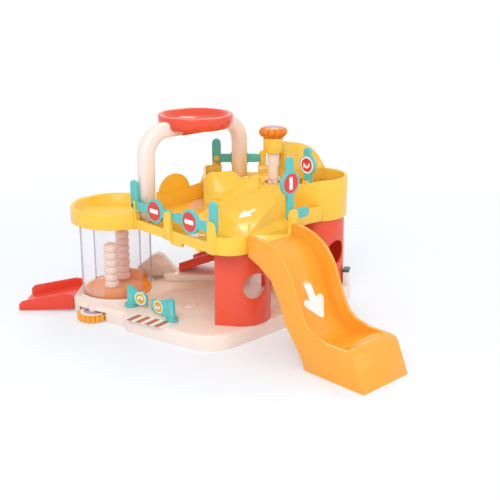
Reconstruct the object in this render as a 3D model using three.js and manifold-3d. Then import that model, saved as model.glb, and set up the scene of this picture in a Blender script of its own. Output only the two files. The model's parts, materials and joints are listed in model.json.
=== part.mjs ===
// Toy parking garage: two parking levels, a screw lift, a slide, a landing pad and a car wash
// whose rollers are driven by a thumb wheel through gears under the base.
// Millimetres, +Z up. The origin is on the ground, under the middle of the base.
import * as THREE from 'three';
import { mergeVertices } from 'three/addons/utils/BufferGeometryUtils.js';
import Module from 'manifold-3d';

const wasm = await Module();
wasm.setup();

// Fits
const seatGap = 0.3; // between pieces that touch
const runGap = 0.5; // between pieces that turn or slide
const skin = 3; // wall of the moulded shells

// Base
const baseHeight = 22;
const baseSkin = 2.5;
const baseRound = 4; // soft top edge
const lobeX = -104;
const lobeY = -85;
const lobeRadius = 79;

// Levels
const deckBottom = 133;
const levelOne = 143;
const levelTwo = 180;
const lipTop = 157;
const gatewayTop = 147; // low lip under the barriers
const lipWall = 3.5;
const frontY = -98; // outer face of the front lip

// Car wash
const washX = -116;
const washY = -87;
const laneTurn = 40; // degrees, the way that cars drive through
const laneHalfAngle = 38; // half of each doorway in the clear wall
const rollerOffset = 36; // each roller from the wash centre
const rollerRadius = 11;
const rollerHeight = 79;
const beadCount = 7;
const clearRadius = 58;
const clearWall = 2.4;
const dishRadius = 51;
const bowlRadius = 66;

// Gear train under the wash
const gearModule = 2.4;
const rollerTeeth = 18;
const idlerTeeth = 12;
const gearBottom = 3.2;
const gearThickness = 7;
const gearPin = 3;
const wheelHeight = 10.5;
const wheelTurn = -78; // degrees, from the front roller to the thumb wheel

// Tower and lift
const towerX = 67;
const towerY = 155;
const towerRadius = 48;
const ringRadius = 50;
const ringTop = 193;
const doorFrom = 205; // degrees, the open side of the tower
const doorTo = 274;
const screwX = 17;
const screwY = 115;
const screwRadius = 8.5;
const cupFloor = 12; // height of the floor of the cup under the screw's foot
const screwPitch = 50; // rise for each turn of the knob
const grooveDepth = 2.6;
const grooveWidth = 7;
const capRadius = 15;
const capBottom = 226;
const capTop = 248;
const knobRadius = 21.5;
const knobHeight = 16;
const platformRadius = 44;
const platformThickness = 4;

// Front pillar
const pillarX = 98;
const pillarY = -30;
const pillarRadius = 42.5;
const windowRadius = 18.5;

// Slide
const slideFront = -66;
const slideWidth = 88;
const slideWall = 5;

// Handle and landing pad
const handleX = -47;
const handleFront = -78.5;
const handleBack = 105;
const handleWide = 22;
const handleDeep = 18;
const handleShoulder = 36; // bend radius of the middle line
const handleCrown = 271;
const padRadius = 56;
const padHeight = 19;
const padBottom = handleCrown - 2;
const padTop = padBottom + padHeight;

// Barriers
const armLength = 84;
const armHeight = 13;
const leverLength = 37;
const leverWidth = 14;
const signOffset = 47; // sign centre from the pivot
const armMeet = 2; // gap between the tips of the two front arms
const frontLeftX = -56; // pivot of the left front barrier
const frontRightX = frontLeftX + 2 * armLength + armMeet;
const slideX = frontRightX + 33; // outer face of the lip where the slide hooks on
const signRadius = 17.5;
const armThickness = 5;
const pivotAboveFloor = 24;
const barrierPin = 2.4;

// Toll gates
const gateThickness = 4;
const gateFoot = 9; // radius of the foot disc
const gateLow = 22; // height at the free end
const gateHigh = 32; // height at the pivot

// Ramps
const entryTurn = 223; // degrees, the way that the entry ramp points
const entryLength = 84;
const entryWidth = 74;
const channelWall = 3;
const backWidth = 50;

const degrees = Math.PI / 180;
const coarse = Math.PI / 7;
const tall = 320; // above everything, for cutters
const wide = 300; // beyond everything, for cutters

// A geometry as a closed solid with merged corners and faces that point out.
function toSolid(geometry) {
  const plain = geometry.clone();
  plain.deleteAttribute('normal');
  plain.deleteAttribute('uv');
  const merged = mergeVertices(plain, 1e-4);
  const spots = merged.attributes.position;
  const faces = [];
  let volume = 0;
  const corner = [new THREE.Vector3(), new THREE.Vector3(), new THREE.Vector3()];
  for (let i = 0; i < merged.index.count; i += 3) {
    const ids = [0, 1, 2].map((k) => merged.index.getX(i + k));
    if (ids[0] === ids[1] || ids[1] === ids[2] || ids[2] === ids[0]) continue;
    ids.forEach((id, k) => corner[k].fromBufferAttribute(spots, id));
    volume += corner[0].dot(corner[1].clone().cross(corner[2]));
    faces.push(ids);
  }
  if (volume < 0) faces.forEach((ids) => ids.reverse());
  return new wasm.Manifold(
    new wasm.Mesh({
      numProp: 3,
      vertProperties: new Float32Array(spots.array),
      triVerts: new Uint32Array(faces.flat()),
    }),
  );
}

const join = (first, ...others) => others.reduce((sum, next) => sum.add(next), first);
const cut = (first, ...others) => others.reduce((rest, next) => rest.subtract(next), first);
const keep = (first, ...others) => others.reduce((rest, next) => rest.intersect(next), first);

function toGeometry(solid) {
  const { vertProperties, triVerts } = solid.getMesh();
  const geometry = new THREE.BufferGeometry();
  geometry.setAttribute('position', new THREE.BufferAttribute(new Float32Array(vertProperties), 3));
  geometry.setIndex(new THREE.BufferAttribute(new Uint32Array(triVerts), 1));
  const flat = geometry.toNonIndexed();
  flat.computeVertexNormals();
  return flat;
}

const onRing = (x, y, radius, turn) => [
  x + radius * Math.cos(turn * degrees),
  y + radius * Math.sin(turn * degrees),
];

// The outline of a belt laid round pulleys [x, y, radius]. A negative radius bends the other way,
// and inset moves the whole outline inwards.
function belt(pulleys, inset = 0, arc = coarse) {
  const wheels = pulleys.map(([x, y, r]) => ({ x, y, r: r > 0 ? Math.max(r - inset, 0.5) : r - inset }));
  const count = wheels.length;
  const normals = wheels.map((a, i) => {
    const b = wheels[(i + 1) % count];
    const span = Math.hypot(b.x - a.x, b.y - a.y);
    return Math.atan2(b.y - a.y, b.x - a.x) - Math.acos((a.r - b.r) / span);
  });
  const points = [];
  wheels.forEach((wheel, i) => {
    const enter = normals[(i + count - 1) % count];
    let turn = (normals[i] - enter) % (2 * Math.PI);
    if (wheel.r > 0 && turn < -1e-6) turn += 2 * Math.PI;
    if (wheel.r < 0 && turn > 1e-6) turn -= 2 * Math.PI;
    const fine = arc * (Math.abs(wheel.r) > 30 ? 0.5 : 1);
    const steps = Math.max(1, Math.ceil(Math.abs(turn) / fine));
    for (let k = 0; k <= steps; k += 1) {
      const a = enter + (turn * k) / steps;
      points.push(new THREE.Vector2(wheel.x + wheel.r * Math.cos(a), wheel.y + wheel.r * Math.sin(a)));
    }
  });
  return points.filter((p, i) => p.distanceTo(points[(i + 1) % points.length]) > 0.02);
}

const outline = (pairs) => pairs.map(([x, y]) => new THREE.Vector2(x, y));

// Prism of an outline between two heights.
function prism(points, low, high) {
  const geometry = new THREE.ExtrudeGeometry(new THREE.Shape(points), {
    depth: high - low,
    bevelEnabled: false,
  });
  return toSolid(geometry.translate(0, 0, low));
}

// Prism whose top edge is rounded.
function softPrism(points, low, high, round, segments = 2) {
  const geometry = new THREE.ExtrudeGeometry(new THREE.Shape(points), {
    depth: high - low - round,
    bevelThickness: round,
    bevelSize: round,
    bevelOffset: -round,
    bevelSegments: segments,
  });
  return cut(toSolid(geometry.translate(0, 0, low)), box([-600, 600], [-600, 600], [low - 50, low]));
}

function box([x0, x1], [y0, y1], [z0, z1]) {
  const geometry = new THREE.BoxGeometry(x1 - x0, y1 - y0, z1 - z0);
  return toSolid(geometry.translate((x0 + x1) / 2, (y0 + y1) / 2, (z0 + z1) / 2));
}

// Solid of revolution about the vertical line through x, y. Profile points are [radius, height].
function revolve(x, y, profile, sides = 28) {
  const geometry = new THREE.LatheGeometry(outline(profile), sides);
  return toSolid(geometry.rotateX(Math.PI / 2).translate(x, y, 0));
}

const rod = (x, y, radius, low, high, sides = 16) =>
  revolve(x, y, [[0, low], [radius, low], [radius, high], [0, high]], sides);

const tube = (x, y, inner, outer, low, high, sides = 28) =>
  revolve(x, y, [[inner, low], [outer, low], [outer, high], [inner, high], [inner, low]], sides);

// Rod along any line between two points.
function pinBetween(from, to, radius, sides = 14) {
  const start = new THREE.Vector3(...from);
  const way = new THREE.Vector3(...to).sub(start);
  const geometry = new THREE.CylinderGeometry(radius, radius, way.length(), sides);
  geometry.translate(0, way.length() / 2, 0);
  const turn = new THREE.Quaternion().setFromUnitVectors(
    new THREE.Vector3(0, 1, 0),
    way.clone().normalize(),
  );
  return toSolid(geometry.applyQuaternion(turn).translate(...from));
}

// Wedge of pie between two directions, as a cutter.
function sector(x, y, radius, from, to, low, high) {
  const count = Math.max(2, Math.ceil((to - from) / 20));
  const step = (to - from) / count;
  const rim = Array.from({ length: count + 1 }, (_, i) => onRing(x, y, radius, from + step * i));
  return prism(outline([[x, y], ...rim]), low, high);
}

// Wall of even thickness along an open path, straddling it.
function ribbon(path, thickness, low, high) {
  const side = (sign) =>
    path.map(([x, y], i) => {
      const [ax, ay] = path[Math.max(i - 1, 0)];
      const [bx, by] = path[Math.min(i + 1, path.length - 1)];
      const span = Math.hypot(bx - ax, by - ay);
      const shift = (sign * thickness) / 2 / span;
      return [x + (by - ay) * shift, y - (bx - ax) * shift];
    });
  return prism(outline([...side(1), ...side(-1).reverse()]), low, high);
}

// Skin of a closed section carried along stations { at, right, up }.
function sweep(loop, stations) {
  const section = THREE.ShapeUtils.area(outline(loop)) < 0 ? [...loop].reverse() : loop;
  const spots = [];
  stations.forEach(({ at, right, up }) => {
    section.forEach(([s, t]) => {
      [0, 1, 2].forEach((axis) => spots.push(at[axis] + right[axis] * s + up[axis] * t));
    });
  });
  const count = section.length;
  const faces = [];
  for (let k = 0; k + 1 < stations.length; k += 1) {
    for (let i = 0; i < count; i += 1) {
      const a = k * count + i;
      const b = k * count + ((i + 1) % count);
      faces.push(a, b, b + count, a, b + count, a + count);
    }
  }
  const last = (stations.length - 1) * count;
  THREE.ShapeUtils.triangulateShape(outline(section), []).forEach(([a, b, c]) => {
    faces.push(a, c, b, last + a, last + b, last + c);
  });
  const geometry = new THREE.BufferGeometry();
  geometry.setAttribute('position', new THREE.Float32BufferAttribute(spots, 3));
  geometry.setIndex(faces);
  return toSolid(geometry);
}

// Extrusion of a side profile [u, z] across a strip. Origin, way and side are plan vectors.
function sideProfile(profile, origin, way, side, from, to) {
  const stations = [from, to].map((v) => ({
    at: [origin[0] + side[0] * v, origin[1] + side[1] * v, 0],
    right: [way[0], way[1], 0],
    up: [0, 0, 1],
  }));
  return sweep(profile, stations);
}

const unit = (turn) => [Math.cos(turn * degrees), Math.sin(turn * degrees)];
const placed = ([x, y], [dx, dy], along) => [x + dx * along, y + dy * along];

// Materials
const plastic = (color, roughness = 0.35) => new THREE.MeshStandardMaterial({ color, roughness, metalness: 0 });
const cream = plastic('#f8e0d2');
const yellow = plastic('#fccb45');
const amber = plastic('#f7a733');
const red = plastic('#ee5a40');
const deepRed = plastic('#e2402f');
const teal = plastic('#63c8c2');
const orange = plastic('#f58a28');
const grey = plastic('#b9b7b8', 0.45);
const green = plastic('#2f6b5b');
const clear = new THREE.MeshStandardMaterial({
  color: '#e9e6ef',
  roughness: 0.08,
  metalness: 0,
  transparent: true,
  opacity: 0.3,
});

const garage = new THREE.Group();

function addPiece(name, solid, material, group = garage) {
  const mesh = new THREE.Mesh(toGeometry(solid), material);
  mesh.name = name;
  group.add(mesh);
}

// Places shared by several pieces
const across = unit(laneTurn - 90);
const washCentre = [washX, washY];
const frontRoller = placed(washCentre, across, rollerOffset);
const backRoller = placed(washCentre, across, -rollerOffset);
const pitchRadius = (teeth) => (gearModule * teeth) / 2;
const wheelCentre = placed(frontRoller, unit(wheelTurn), 2 * pitchRadius(rollerTeeth));
const gearTop = gearBottom + gearThickness;
const shaftRadius = 4;
const tipRadius = (teeth) => pitchRadius(teeth) + gearModule * 0.9;

const basePulleys = [
  [lobeX, lobeY, lobeRadius],
  [-30, -151, -8],
  [-8, -141, 10],
  [88, -78, 50],
  [118, 6, 20],
  [towerX, towerY, 60],
  [-50, 72, 60],
];

const backCorner = [-82.8, 80.7, 14];
const backEdge = 90; // length of the straight edge at the back exit
const backTurn = 46.5;
const exitCorner = [
  backCorner[0] + backEdge * Math.cos(backTurn * degrees),
  backCorner[1] + backEdge * Math.sin(backTurn * degrees),
  backCorner[2],
];
const deckPulleys = [
  [-64, frontY + 30, 30],
  [frontRightX, frontY + 33, 33],
  [slideX - 8, 16, 8],
  [138, 98, -32],
  [towerX, towerY, ringRadius - 5],
  exitCorner,
  backCorner,
];

// Base

const rampWay = unit(entryTurn);
const rampSide = [-rampWay[1], rampWay[0]];
const rampFlat = 69; // flat edge of the lobe from its centre, where the ramp hangs
const rampShift = 4; // ramp's middle line from the lobe's centre
const rampRoot = placed(placed([lobeX, lobeY], rampWay, rampFlat), rampSide, rampShift);

const gatePoints = [
  { name: 'left', at: [-42, -119], turn: 16, reach: 30 },
  { name: 'right', at: [45, -113], turn: 184, reach: 41 },
];
const rampTabs = [-22, 22];
const gateSpigot = 4;
const coverScrews = [
  placed(washCentre, unit(laneTurn + 180), 24),
  placed(washCentre, unit(laneTurn), 24),
  placed(frontRoller, unit(20), 28.5),
  placed(backRoller, unit(150), 28.5),
];
const screwShank = 1.6;

// Angles of the two clear panels round the wash.
const washSides = 32;
const panelSpans = [
  [laneTurn - 180 + laneHalfAngle, laneTurn - laneHalfAngle],
  [laneTurn + laneHalfAngle, laneTurn + 180 - laneHalfAngle],
];

function basePlate() {
  const shell = cut(
    softPrism(belt(basePulleys), 0, baseHeight, baseRound, 2),
    prism(belt(basePulleys, baseSkin), -1, baseHeight - baseSkin),
  );
  const inside = prism(belt(basePulleys, 1), 0, baseHeight - 1);
  const ribHalf = 1;
  const ribs = [
    box([10, 10 + 2 * ribHalf], [-160, 220], [1, baseHeight - 1]),
    box([95, 95 + 2 * ribHalf], [-140, 220], [1, baseHeight - 1]),
    box([-52, 160], [-1 - ribHalf, -1 + ribHalf], [1, baseHeight - 1]),
    box([-110, 160], [95, 95 + 2 * ribHalf], [1, baseHeight - 1]),
  ].map((rib) => keep(rib, inside));
  const origin = rod(0, 0, 13, 0, baseHeight - 1, 16);
  const pin = ([x, y], shoulder) =>
    join(
      rod(x, y, gearPin + 3.5, shoulder, baseHeight - 1, 12),
      rod(x, y, gearPin, gearBottom - seatGap, baseHeight - 1, 12),
    );
  const bushLow = gearTop + runGap + 0.3;
  const bush = ([x, y]) => tube(x, y, shaftRadius + runGap, shaftRadius + 3.5, bushLow, baseHeight, 14);
  const curbRadius = clearRadius + seatGap;
  const curbs = panelSpans.map(([from, to]) =>
    keep(
      tube(washX, washY, curbRadius, curbRadius + 2.2, baseHeight - 1, baseHeight + 3, washSides),
      sector(washX, washY, 90, from, to, baseHeight - 2, baseHeight + 4),
    ),
  );
  const cup = rod(screwX, screwY, screwRadius + 3, cupFloor - 2, baseHeight - 1, 20);
  const screwBoss = ([x, y]) => rod(x, y, 3.4, gearBottom, baseHeight - 1, 8);
  const screwHole = ([x, y]) => rod(x, y, screwShank + 0.3, -1, baseHeight - baseSkin - 3, 8);
  const flat = sideProfile(
    [[rampFlat, -5], [rampFlat + 30, -5], [rampFlat + 30, 40], [rampFlat, 40]],
    [lobeX, lobeY],
    rampWay,
    rampSide,
    rampShift - entryWidth / 2 - 1,
    rampShift + entryWidth / 2 + 1,
  );
  const flatWall = sideProfile(
    [[rampFlat - baseSkin, 0], [rampFlat, 0], [rampFlat, baseHeight - 1], [rampFlat - baseSkin, baseHeight - 1]],
    [lobeX, lobeY],
    rampWay,
    rampSide,
    rampShift - entryWidth / 2 - 3,
    rampShift + entryWidth / 2 + 3,
  );
  const tabSlots = rampTabs.map((v) =>
    sideProfile([[-6, 12], [1, 12], [1, 16], [-6, 16]], rampRoot, rampWay, rampSide, v - 6.3, v + 6.3),
  );
  const wheelSlot = rod(...wheelCentre, tipRadius(rollerTeeth) + 2, -1, gearBottom + wheelHeight + 1, 24);
  const body = join(
    cut(shell, flat, wheelSlot),
    keep(flatWall, prism(belt(basePulleys), 0, baseHeight)),
    ...ribs,
    origin,
    pin(wheelCentre, gearBottom - 1.7 + wheelHeight + runGap),
    pin(washCentre, gearTop + runGap),
    bush(frontRoller),
    bush(backRoller),
    ...curbs,
    cup,
    ...coverScrews.map(screwBoss),
  );
  const shaftHole = ([x, y]) => rod(x, y, shaftRadius + runGap, 4, baseHeight + 1, 14);
  const gateHoles = gatePoints.map(({ at: [x, y] }) => rod(x, y, gateSpigot + runGap, 4, baseHeight + 1, 12));
  const cupBore = rod(screwX, screwY, screwRadius + runGap, cupFloor, baseHeight + 1, 20);
  return cut(body, ...[frontRoller, backRoller].map(shaftHole), ...gateHoles, cupBore, ...coverScrews.map(screwHole), ...tabSlots);
}

addPiece('base_plate', basePlate(), cream);

// Gears

// Outline of a spur gear, with a tooth centred on the X axis. The flanks run straight between two
// points of the involute.
function gearOutline(teeth, backlash = 0.45) {
  const pressure = 25 * degrees;
  const pitch = pitchRadius(teeth);
  const root = pitch - 1.2 * gearModule;
  const tip = pitch + 0.9 * gearModule;
  const baseCircle = pitch * Math.cos(pressure);
  const involute = (angle) => Math.tan(angle) - angle;
  const half = (radius) => {
    const r = Math.max(radius, baseCircle);
    const lean = involute(pressure) - involute(Math.acos(baseCircle / r));
    return Math.PI / 2 / teeth - backlash / 2 / pitch + lean;
  };
  const points = [];
  for (let i = 0; i < teeth; i += 1) {
    const middle = (2 * Math.PI * i) / teeth;
    const corner = (r, side) => [r * Math.cos(middle + side * half(r)), r * Math.sin(middle + side * half(r))];
    points.push(corner(root, -1), corner(tip, -1), corner(tip, 1), corner(root, 1));
  }
  return points;
}

// A gear turned so that a tooth, or a gap, faces the given direction.
function gear(teeth, [x, y], facing, toothThere, low, high) {
  const turn = facing * degrees + (toothThere ? 0 : Math.PI / teeth);
  const spun = gearOutline(teeth).map(([px, py]) => [
    x + px * Math.cos(turn) - py * Math.sin(turn),
    y + px * Math.sin(turn) + py * Math.cos(turn),
  ]);
  return prism(outline(spun), low, high);
}

// The direction in which a gear shows a tooth, from its mesh on one side to its mesh on the other.
const toothPitch = (teeth) => 360 / teeth;

function gearPieces() {
  const toWheel = wheelTurn;
  const toIdler = laneTurn + 90;
  const boss = ([x, y]) => rod(x, y, gearPin + seatGap, -5, 60, 12);
  // Front gear: a gap faces the thumb wheel. Where its teeth then lie towards the idler sets the rest.
  const frontPhase = toWheel + toothPitch(rollerTeeth) / 2;
  const frontAtIdler = ((toIdler - frontPhase) / toothPitch(rollerTeeth)) % 1;
  const idlerPhase = toIdler + 180 + (0.5 + frontAtIdler) * toothPitch(idlerTeeth);
  const idlerAtBack = ((toIdler - idlerPhase) / toothPitch(idlerTeeth)) % 1;
  const backPhase = toIdler + 180 + (0.5 + idlerAtBack) * toothPitch(rollerTeeth);
  const wheel = cut(
    gear(rollerTeeth, wheelCentre, toWheel + 180, true, gearBottom - 1.7, gearBottom + wheelHeight - 1.7),
    boss(wheelCentre),
    tube(...wheelCentre, 8, 16, gearBottom + wheelHeight - 3.2, gearBottom + wheelHeight, 24),
  );
  const spindle = (at, phase) =>
    cut(
      join(
        gear(rollerTeeth, at, phase, true, gearBottom, gearTop),
        rod(...at, shaftRadius, gearTop - 1, baseHeight + 40, 12),
      ),
      rod(...at, gearPin + seatGap, -5, gearTop - 2, 12),
    );
  const idler = cut(gear(idlerTeeth, washCentre, idlerPhase, true, gearBottom, gearTop), boss(washCentre));
  addPiece('thumb_wheel', wheel, orange);
  addPiece('roller_gear_front', spindle(frontRoller, frontPhase), grey);
  addPiece('idler_gear', idler, grey);
  addPiece('roller_gear_back', spindle(backRoller, backPhase), grey);
}

gearPieces();

// Plate under the gears, with the lower bearing pins.
function gearCover() {
  const margin = tipRadius(rollerTeeth) + 2;
  const [fx, fy] = frontRoller;
  const [bx, by] = backRoller;
  const sheet = prism(belt([[fx, fy, margin + 4], [bx, by, margin + 4]]), 0.9, gearBottom - runGap);
  const wheelWeb = prism(
    belt([[...placed(wheelCentre, unit(wheelTurn + 180), 16), 10], [fx, fy, 20]]),
    0.9,
    gearBottom - runGap,
  );
  const pins = [frontRoller, backRoller].map(([x, y]) => rod(x, y, gearPin, 0.9, gearTop - 3, 12));
  const clearWheel = rod(...wheelCentre, tipRadius(rollerTeeth) + 1.5, -1, 30, 24);
  const insideBase = prism(belt(basePulleys, baseSkin + 1), -1, 30);
  const wheelStub = rod(...wheelCentre, 6, -1, 30, 16);
  const holes = coverScrews.map(([x, y]) => rod(x, y, screwShank + 0.4, -1, 10, 8));
  return cut(keep(join(sheet, wheelWeb, ...pins), insideBase), clearWheel, wheelStub, ...holes);
}

addPiece('gear_cover', gearCover(), grey);
coverScrews.forEach(([x, y], i) => {
  const screw = join(rod(x, y, 2.8, 0.2, 0.8, 8), rod(x, y, screwShank, 0.7, 14, 8));
  addPiece(`cover_screw_${i + 1}`, screw, grey);
});

// Car wash

function washFloor() {
  const dish = revolve(
    washX,
    washY,
    [
      [0, baseHeight + seatGap],
      [dishRadius, baseHeight + seatGap],
      [dishRadius, baseHeight + 3],
      [dishRadius - 2.5, baseHeight + 4],
      [dishRadius - 6, baseHeight + 2],
      [0, baseHeight + 2],
    ],
    washSides,
  );
  const rail = (from, to) =>
    keep(
      revolve(
        washX,
        washY,
        [
          [dishRadius - 8, baseHeight + 1],
          [dishRadius, baseHeight + 1],
          [dishRadius, baseHeight + 16],
          [dishRadius - 5, baseHeight + 17],
          [dishRadius - 8, baseHeight + 1],
        ],
        washSides,
      ),
      sector(washX, washY, 90, from, to, 0, 44),
    );
  const shafts = [frontRoller, backRoller].flatMap(([x, y]) => [
    rod(x, y, shaftRadius + runGap, 0, 60, 12),
    rod(x, y, rollerRadius + 1.2, baseHeight + 2.2, 60, 16),
  ]);
  return cut(join(dish, rail(laneTurn - 100, laneTurn - 44), rail(laneTurn + 48, laneTurn + 100)), ...shafts);
}

addPiece('wash_floor', washFloor(), amber);

// A roller is a stack of soft beads on a blind bore.
function roller([x, y]) {
  const low = baseHeight + 3;
  const bead = rollerHeight / beadCount;
  const profile = [[0, low]];
  for (let i = 0; i < beadCount; i += 1) {
    const z = low + i * bead;
    profile.push([rollerRadius - 2, z], [rollerRadius - 0.3, z + bead * 0.25]);
    profile.push([rollerRadius - 0.3, z + bead * 0.75]);
  }
  profile.push([rollerRadius - 2, low + rollerHeight], [rollerRadius - 6, low + rollerHeight + 2]);
  profile.push([0, low + rollerHeight + 2]);
  return cut(revolve(x, y, profile, 12), rod(x, y, shaftRadius + seatGap, 0, baseHeight + 40 + seatGap, 12));
}

addPiece('wash_roller_front', roller(frontRoller), cream);
addPiece('wash_roller_back', roller(backRoller), cream);

panelSpans.forEach(([from, to], i) => {
  const low = baseHeight + seatGap;
  const panel = keep(
    tube(washX, washY, clearRadius - clearWall, clearRadius, low, deckBottom - seatGap, washSides),
    sector(washX, washY, 90, from, to, 0, 200),
  );
  addPiece(i === 0 ? 'clear_panel_front' : 'clear_panel_back', panel, clear);
});

const leg = (y, grow) =>
  box(
    [handleX - handleDeep / 2 - grow, handleX + handleDeep / 2 + grow],
    [y - handleWide / 2 - grow, y + handleWide / 2 + grow],
    [levelOne, tall],
  );

function washBowl() {
  const floor = levelOne - 3;
  const bowl = revolve(
    washX,
    washY,
    [
      [0, floor - 3],
      [clearRadius - clearWall - 3, floor - 3],
      [clearRadius - clearWall - 3, deckBottom],
      [bowlRadius, deckBottom],
      [bowlRadius, lipTop - 2],
      [bowlRadius - 2, lipTop],
      [bowlRadius - 5, lipTop],
      [bowlRadius - 7, lipTop - 2],
      [bowlRadius - 10, floor + 2],
      [bowlRadius - 14, floor],
      [0, floor],
    ],
    washSides,
  );
  return cut(bowl, leg(handleFront, seatGap));
}

addPiece('wash_bowl', washBowl(), yellow);

// Upper deck

const sillX = slideX + 3; // the deck's sill and posts stand this far out
const deckRampFoot = -28; // y where the deck ramp starts
const deckRampRun = 116; // its length on plan
const hillPulleys = [
  [-18, 28, 18],
  [19, 95, 12],
  [10, 150, 20],
  exitCorner,
  backCorner,
];
const parapet = 12; // wall round the second level
const domeY = 10;
const domeRadius = 30;
const rampFoot = 110; // right end of the deck ramp's foot
const rampHead = 70; // right end of its head
const postTop = 35; // above the floor
const middlePostX = 24; // the post where the front arms meet
const postHalf = 7;
const armPlane = 1.4; // from the lip's outer face to the arm's outer face

const barrierStations = {
  front_left: { at: [frontLeftX, frontY], way: [1, 0], inward: [0, 1], floor: levelOne, open: 0 },
  front_right: { at: [frontRightX, frontY], way: [-1, 0], inward: [0, 1], floor: levelOne, open: 0 },
  slide: { at: [slideX, 24], way: [0, -1], inward: [-1, 0], floor: levelOne, open: 88, plane: 3.9 },
  back: {
    at: placed(placed(backCorner, unit(backTurn + 90), backCorner[2]), unit(backTurn), 6),
    way: unit(backTurn),
    inward: unit(backTurn - 90),
    floor: levelTwo,
    open: 0,
    reach: 70,
    sign: { at: 36, radius: 15.5 },
    lever: 31,
  },
};

// A post: a plate that stands proud of the lip's outer face and ends in a round top.
function post({ at, way, inward, floor, plane = armPlane }, half = postHalf) {
  const crown = floor + postTop - half;
  const arch = [0, 45, 90, 135, 180].map((t) => {
    const [c, s] = unit(t);
    return [half * c, crown + half * s];
  });
  return sideProfile([[-half, deckBottom], [half, deckBottom], ...arch], at, way, inward, -3, plane - seatGap);
}

function deckSolid() {
  const slideMouth = [slideFront + slideWall, slideFront + slideWidth - slideWall];
  const { back, front_left: frontLeft } = barrierStations;
  const plan = (inset, low, high) => prism(belt(deckPulleys, inset), low, high);
  const hill = (inset, low, high) => prism(belt(hillPulleys, inset), low, high);
  // The deck ramp on plan, with the floor behind it. Its right side leans in as it climbs.
  const rampPlan = (inset, from) => {
    const edge = (y) => rampFoot - inset + ((rampHead - rampFoot) * (y - deckRampFoot)) / deckRampRun;
    const head = deckRampFoot + deckRampRun;
    const right = [[edge(from), from], [edge(head), head], [edge(head), wide]];
    return prism(outline([[-8, from], ...right, [-8, wide]]), 0, tall);
  };
  const behindRamp = (inset) => rampPlan(inset, deckRampFoot + deckRampRun);
  const slope = (z) =>
    sideProfile(
      [[-1, z], [deckRampRun + 1, z + levelTwo - levelOne], [deckRampRun + 1, 0], [-1, 0]],
      [0, deckRampFoot],
      [0, 1],
      [1, 0],
      -60,
      200,
    );
  const rimRing = cut(plan(0, deckBottom, 260), plan(lipWall, 0, tall));
  const lip = keep(rimRing, box([-wide, wide], [-wide, wide], [0, lipTop]));
  // The wall between the hill and the deck ramp grows taller as it climbs.
  const kerb = keep(
    prism(outline([[-16, 6], [12, 12], [26, 76], [18, 76], [-10, 30]]), levelOne - 1, tall),
    sideProfile([[0, 0], [80, 0], [80, 199], [0, 163]], [0, 0], [0, 1], [1, 0], -40, 60),
  );
  // A hump with round shoulders on the front of the hill's wall.
  const humpTop = levelTwo + 26;
  const hump = keep(
    cut(hill(0, levelTwo, tall), hill(lipWall, 0, tall)),
    sideProfile(
      [
        [-12, 0],
        [44, 0],
        [44, humpTop - 14],
        [40, humpTop - 9],
        [35, humpTop - 3],
        [29, humpTop],
        [1, humpTop],
        [-4, humpTop - 2],
        [-9, humpTop - 8],
        [-12, humpTop - 14],
      ],
      [-6, 10],
      unit(46),
      unit(136),
      -20,
      20,
    ),
  );
  const leftWall = sideProfile(
    [
      [-140, 0],
      [150, 0],
      [150, levelTwo + parapet],
      [80, levelTwo + parapet],
      [66, levelOne + 24],
      [domeY + domeRadius + 4, levelOne + 22],
      ...[8, 30, 52, 74, 106, 128, 150, 172].map((t) => {
        const [c, s] = unit(t);
        return [domeY + domeRadius * c, levelOne + 20 + (domeRadius - 3) * s];
      }),
      [domeY - domeRadius - 4, levelOne + 24],
      [-60, levelOne + 20],
      [-140, levelOne + 14],
    ],
    [0, 0],
    [0, 1],
    [1, 0],
    -140,
    -60,
  );
  const solids = join(
    plan(0, deckBottom, levelOne),
    lip,
    keep(rimRing, leftWall),
    cut(hill(0, levelOne - 1, levelTwo + parapet), hill(lipWall, levelTwo, tall)),
    cut(
      keep(cut(plan(0, deckBottom, levelTwo + parapet), plan(lipWall, levelTwo, tall)), behindRamp(0)),
      hill(lipWall, levelTwo, tall),
    ),
    cut(keep(plan(0, deckBottom, tall), slope(levelOne), rampPlan(0, -200)), hill(2, 0, tall)),
    kerb,
    hump,
    ...Object.values(barrierStations).map((station) => post(station)),
    box([slideX - 1, sillX], slideMouth, [deckBottom, levelOne]),
    post({ at: [slideX, slideFront + 10], way: [0, -1], inward: [-1, 0], floor: levelOne }, 6),
    post({ ...back, at: placed(back.at, back.way, back.reach + 3) }, 6),
  );
  const openings = [
    plan(skin, 0, levelOne - skin),
    hill(skin, 0, levelTwo - skin),
    keep(plan(skin, 0, levelTwo - skin), behindRamp(skin)),
    cut(keep(plan(skin, 0, tall), slope(levelOne - skin), rampPlan(skin, -200)), hill(0, 0, tall)),
    // Openings for the front barriers, the slide and the exit at the back.
    box([frontLeftX + 6, frontRightX - 6], [frontY - 5, frontY + lipWall + 0.5], [gatewayTop, tall]),
    box([slideX - lipWall - 1, slideX + 5], slideMouth, [levelOne, tall]),
    sideProfile(
      [[8, levelTwo], [back.reach - 4, levelTwo], [back.reach - 4, tall], [8, tall]],
      back.at,
      back.way,
      back.inward,
      -0.5,
      lipWall + 2,
    ),
    // The mouth towards the lift, above the second level.
    keep(sector(towerX, towerY, 84, doorFrom, doorTo, levelTwo, tall), plan(lipWall, 0, tall)),
  ];
  return cut(
    join(cut(solids, ...openings), post({ ...frontLeft, at: [middlePostX, frontY], floor: levelOne - 4 })),
    rod(washX, washY, bowlRadius + seatGap, 0, tall, washSides),
    rod(towerX, towerY, ringRadius + seatGap, 0, tall, towerSides),
    leg(handleFront, seatGap),
  );
}

// Slide

const tabHeights = [135.3, 138.7];
const slideTabs = [slideFront + 20, slideFront + slideWidth - 20];

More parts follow.
